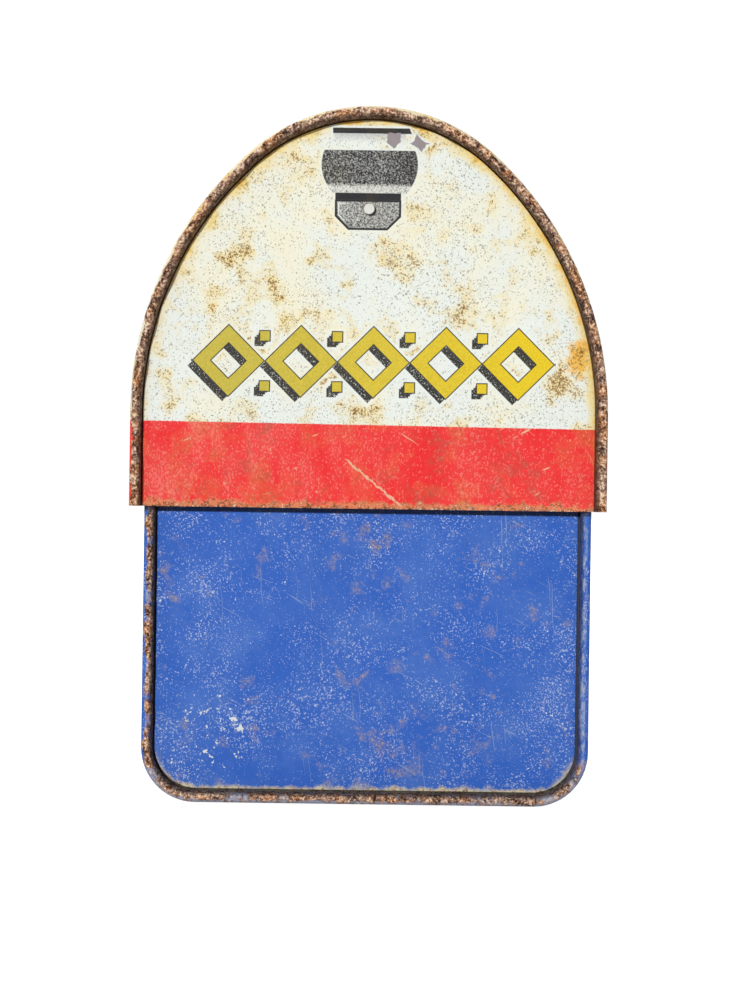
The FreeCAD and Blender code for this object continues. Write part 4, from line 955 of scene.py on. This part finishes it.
def addHem(sheet, low, high, mouthAt):
    # one flattened hem as a block with softened edges
    start = set(sheet.mesh.verts)
    middle = [(a + b) / 2 * mm for a, b in zip(low, high)]
    size = [(b - a) * mm for a, b in zip(low, high)]
    where = Matrix.Translation(middle) @ Matrix.Diagonal((*size, 1.0))
    bmesh.ops.create_cube(sheet.mesh, size=1.0, matrix=where)
    made = [v for v in sheet.mesh.verts if v not in start]
    edges = list({e for v in made for e in v.link_edges})
    bmesh.ops.bevel(sheet.mesh, geom=edges, offset=seam["hemEdge"] * mm, segments=2, affect="EDGES")
    for vertex in sheet.mesh.verts:
        if vertex not in start:
            vertex[sheet.rim] = seam["hemWear"]
            vertex[sheet.mouth] = abs(vertex.co.z / mm - mouthAt)
    for face in sheet.mesh.faces:
        if all(v not in start for v in face.verts):
            face.material_index = 1
            face.smooth = True


def makeWrapper(name, shape, stations, body, materials):
    # a sheet wrapped round the outline, its ends rolled inwards over the end plates
    sheet = SheetMesh()
    tip, mouth = shape["tip"], shape["mouth"]
    hookOuter, hookInner = seamPaths()
    wallEnd = tip - seam["fold"]
    count = math.ceil(2 * wallEnd / seam["wallPitch"])
    wall = [-wallEnd + 2 * wallEnd * i / count for i in range(count + 1)][1:-1]

    def skin(hook, depth):
        front = [(d, -(tip - s)) for d, s in reversed(hook)]
        rear = [(d, tip - s) for d, s in hook]
        return front + [(depth, y) for y in wall] + rear

    outer, inner = skin(hookOuter, 0.0), skin(hookInner, seam["sheet"])
    grids = []
    for path in (outer, inner):
        rows = []
        for x, z, nx, nz in stations:
            row = []
            for depth, y in path:
                setback = tip - abs(y)
                side = -1 if y < 0 else 1
                spot = (x, y, z)
                # shallow dents that fade out at the seams, the fittings and the mouth
                dent = max(0.0, noise.noise(Vector(spot) * seam["dentScale"]) + 0.1) * seam["dent"] * 3
                dent = dent * grown(setback, 3.5, 10) * awayFromFittings(spot)
                dent = dent * grown(abs(z - mouth), seam["hemHeight"] + 1.0, 8)
                bead = max(0.0, 1 - setback / seam["beadReach"])
                lump = beadNoise((x, z), side)
                push = depth * (1 + lump * seam["beadWobble"] * bead) + dent
                pull = abs(noise.noise(Vector((x * 0.3, side * 3.0, z * 0.3)))) * seam["beadWobble"] * bead
                crest = setback if depth < 0.1 else 0.0
                if setback < seam["fold"]:
                    crest = max(0.0, seam["fold"] - depth)
                # grime and painted shade on the seam's inner side, towards the panel
                seamGrimeAndShade = grown(depth / seam["fold"], 1.45, 0.5, most=0.7)
                at = (x - push * nx, y - side * pull, z - push * nz)
                row.append(sheet.point(*at, crest, abs(z - mouth), seamGrimeAndShade))
            rows.append(row)
        grids.append(rows)
    for first, second in zip(grids[0], grids[0][1:]):
        sheet.strip(first, second, 0)
    for first, second in zip(grids[1], grids[1][1:]):
        sheet.strip(first, second, 1)
    for end in (0, -1):
        sheet.strip([row[end] for row in grids[0]], [row[end] for row in grids[1]], 0)
        sheet.strip(grids[0][end], grids[1][end], 0)
    reach = tip - seam["hemSetback"]
    wallX = shape["halfWidth"] - seam["sheet"]
    high = mouth + seam["hemHeight"] if shape is lid else mouth
    low = high - seam["hemHeight"]
    for side in (-1, 1):
        xs = sorted((side * (wallX + 0.02), side * (wallX - seam["sheet"] - seam["gap"])))
        addHem(sheet, (xs[0], -reach, low), (xs[1], reach, high), mouth)
    sheet.finish(name, body, materials, name)


def nearestRim(x, z, corners):
    return min(math.hypot(x - a, z - b) for a, b in corners)


def makeEndPlate(name, shape, stations, side, body, materials):
    # a pressed panel with its flange locked into the wrapper's seam; side is -1 for the front
    sheet = SheetMesh()
    tip, mouth, middle, t = shape["tip"], shape["mouth"], shape["panelMiddle"], seam["sheet"]
    outer, inner = platePaths(shape["grooveWidth"], shape["grooveDepth"])
    grooveStart = seam["grooveTurns"]  # the path's points from here on lie in the groove
    grids = []
    for path in (outer, inner):
        rows = []
        for x, z, nx, nz in stations:
            # points in the groove get grime and painted shade
            rows.append([
                sheet.point(x - d * nx, side * (tip - s), z - d * nz, d, abs(z - mouth), float(k >= grooveStart))
                for k, (d, s) in enumerate(path)
            ])
        grids.append(rows)
    for skin, slot in ((grids[0], 0), (grids[1], 1)):
        for first, second in zip(skin, skin[1:]):
            sheet.strip(first, second, slot)
    sheet.strip([row[-1] for row in grids[0]], [row[-1] for row in grids[1]], 1)
    for end in (0, -1):
        sheet.strip(grids[0][end], grids[1][end], 0)
    # the panel: rings that shrink towards the middle, each skin closed by a fan
    edgeDepth = outer[0][0]
    corners = [(row[0].co.x / mm, row[0].co.z / mm) for row in grids[0]]
    far, near = corners[-1], corners[0]
    mouthCount = math.ceil(abs(far[0] - near[0]) / seam["pitch"])
    mouthRun = [(far[0] + (near[0] - far[0]) * i / mouthCount, mouth) for i in range(1, mouthCount)]
    loop = corners + mouthRun
    edges = []
    for skin, setback, slot in ((grids[0], seam["depth"], 0), (grids[1], seam["depth"] + t, 1)):
        ring = [row[0] for row in skin]
        for x, z in mouthRun:
            rim = min(edgeDepth + abs(x - near[0]), edgeDepth + abs(x - far[0]))
            ring.append(sheet.point(x, side * (tip - setback), z, rim, 0.0))
        edges.append(ring)
        for level in range(1, seam["rings"]):
            share = 1 - level / seam["rings"]
            following = []
            for x, z in loop:
                px, pz = x * share, middle + (z - middle) * share
                wave = 0.0
                for scale, layer in ((seam["waveScale"], 2.0), (seam["broadWaveScale"], 5.0)):
                    wave += noise.noise(Vector((px * scale, side * layer, pz * scale))) * seam["panelWave"]
                py = side * (tip - setback - wave * min(1.0, (1 - share) * 7))
                rim = nearestRim(px, pz, corners) + edgeDepth
                following.append(sheet.point(px, py, pz, rim, abs(pz - mouth)))
            sheet.strip(ring + ring[:1], following + following[:1], slot)
            ring = following
        hub = sheet.point(0, side * (tip - setback), middle, 50.0, abs(middle - mouth))
        for a, b in zip(ring, ring[1:] + ring[:1]):
            sheet.face((a, b, hub), slot)
    start = len(corners) - 1
    sheet.strip(edges[0][start:] + edges[0][:1], edges[1][start:] + edges[1][:1], 0)
    reach = shape["halfWidth"] - seam["hemSetback"]
    high = mouth + seam["hemHeight"] if shape is lid else mouth
    ys = sorted((side * (tip - seam["depth"] - t + 0.02), side * (tip - seam["depth"] - 2 * t - seam["gap"])))
    addHem(sheet, (-reach, ys[0], high - seam["hemHeight"]), (reach, ys[1], high), mouth)
    sheet.finish(name, body, materials, name)


lidStations = lidOutline(seam["pitch"])
baseStations = baseOutline(seam["pitch"])
makeWrapper("lid_barrel", lid, lidStations, "lid", [lidPlain, tinInside])
makeWrapper("base_barrel", base, baseStations, "base", [bluePaint, tinInside])
for side, word in ((-1, "front"), (1, "rear")):
    makeEndPlate("lid_end_" + word, lid, lidStations, side, "lid", [lidPrinted, tinInside])
    makeEndPlate("base_end_" + word, base, baseStations, side, "base", [bluePaint, tinInside])
print("tin shells ready")


# fittings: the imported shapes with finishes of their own

fittingGroups = {
    dullPlate: (*seatedFittings, "hasp"),
    pinSteel: ("hinge_a_pin", "hinge_b_pin", "hasp_pin"),
    rivetSteel: ("base_hinge_rivets", "lid_hinge_rivets", "catch_rivets", "hasp_rivets", "bottle_clip_rivets",
                 "handle_rivets"),
    wireSteel: ("handle_bail", "bottle_clip"),
    gripBlue: ("handle_grip",),
}


def dressFitting(node, material):
    thing = nodes[node]
    thing.data.materials.clear()
    thing.data.materials.append(material)


for material, names in fittingGroups.items():
    for node in names:
        dressFitting(node, material)
print("fittings ready")


# studio

studio = dict(
    cameraAway=0.345, cameraSide=0.0018, cameraHeight=0.0783, roll=0.8, lens=49.24,
    skySeen=1.02, skyLight=0.14, floorGlow=0.9, floorReach=6.0, floorDrop=0.0004,
    lamps=dict(  # where each lamp stands, its strength and its apparent width in degrees
        keyLamp=((-0.17, -0.96, 0.23), 2.32, 3.0),
        rightLamp=((0.75, 0.55, 0.8), 0.45, 30.0),
        leftLamp=((-0.9, 0.4, 0.7), 0.9, 30.0),
        topLamp=((-0.3, 0.15, 1.0), 1.2, 30.0),
        rearLamp=((0.25, 1.0, 0.3), 1.5, 20.0),
    ),
)


def makeStudio():
    p = studio
    scene = bpy.context.scene
    scene.view_settings.view_transform = "Standard"
    camera = bpy.data.objects.new("camera", bpy.data.cameras.new("camera"))
    camera.data.lens = p["lens"]
    camera.data.sensor_width = 36.0
    camera.data.clip_start = 0.01
    turn = Matrix.Rotation(math.radians(90), 4, "X") @ Matrix.Rotation(math.radians(p["roll"]), 4, "Z")
    spot = (p["cameraSide"], cadBounds[0][1] - p["cameraAway"], p["cameraHeight"])
    camera.matrix_world = Matrix.Translation(spot) @ turn
    scene.collection.objects.link(camera)
    scene.camera = camera

    world = bpy.data.worlds.new("studioWhite")
    world.use_nodes = True
    sky = world.node_tree.nodes["Background"]
    sky.inputs["Color"].default_value = (1.0, 1.0, 1.0, 1.0)
    seen = world.node_tree.nodes.new("ShaderNodeLightPath")
    direct = Wire(world.node_tree, seen.outputs["Is Camera Ray"])
    feed(sky.inputs["Strength"], p["skyLight"] + direct * (p["skySeen"] - p["skyLight"]))
    scene.world = world

    for name, (stand, strength, width) in p["lamps"].items():
        lamp = bpy.data.lights.new(name, "SUN")
        lamp.energy = strength
        lamp.angle = math.radians(width)
        holder = bpy.data.objects.new(name, lamp)
        facing = (-Vector(stand)).to_track_quat("-Z", "Y").to_matrix().to_4x4()
        holder.matrix_world = Matrix.Translation(stand) @ facing
        scene.collection.objects.link(holder)


def makeFloor():
    material, vector = startMaterial("paleFloor")
    tone = place(handledTone, vector, Broad=0.004, Fine=0.006, Grain_Size=2.0)
    colour = blendColours(tone["Tone"] * 8.0 - 7.5, srgb(184, 184, 183), srgb(188, 188, 187))
    seen = Wire(vector.tree, vector.tree.nodes.new("ShaderNodeLightPath").outputs["Is Camera Ray"])
    white = (1.0, 1.0, 1.0, 1.0)
    feedShader(material, Base_Color=colour, Roughness=0.8, Emission_Color=white)
    feedShader(material, Emission_Strength=seen * studio["floorGlow"])
    data = bpy.data.meshes.new("floor")
    reach = studio["floorReach"]
    corners = [(-reach, -reach, 0), (reach, -reach, 0), (reach, reach, 0), (-reach, reach, 0)]
    data.from_pydata(corners, [], [(0, 1, 2, 3)])
    data.materials.append(material)
    floor = bpy.data.objects.new("floor", data)
    floor.location.z = -studio["floorDrop"]
    bpy.context.scene.collection.objects.link(floor)


makeStudio()
makeFloor()
print("studio ready")
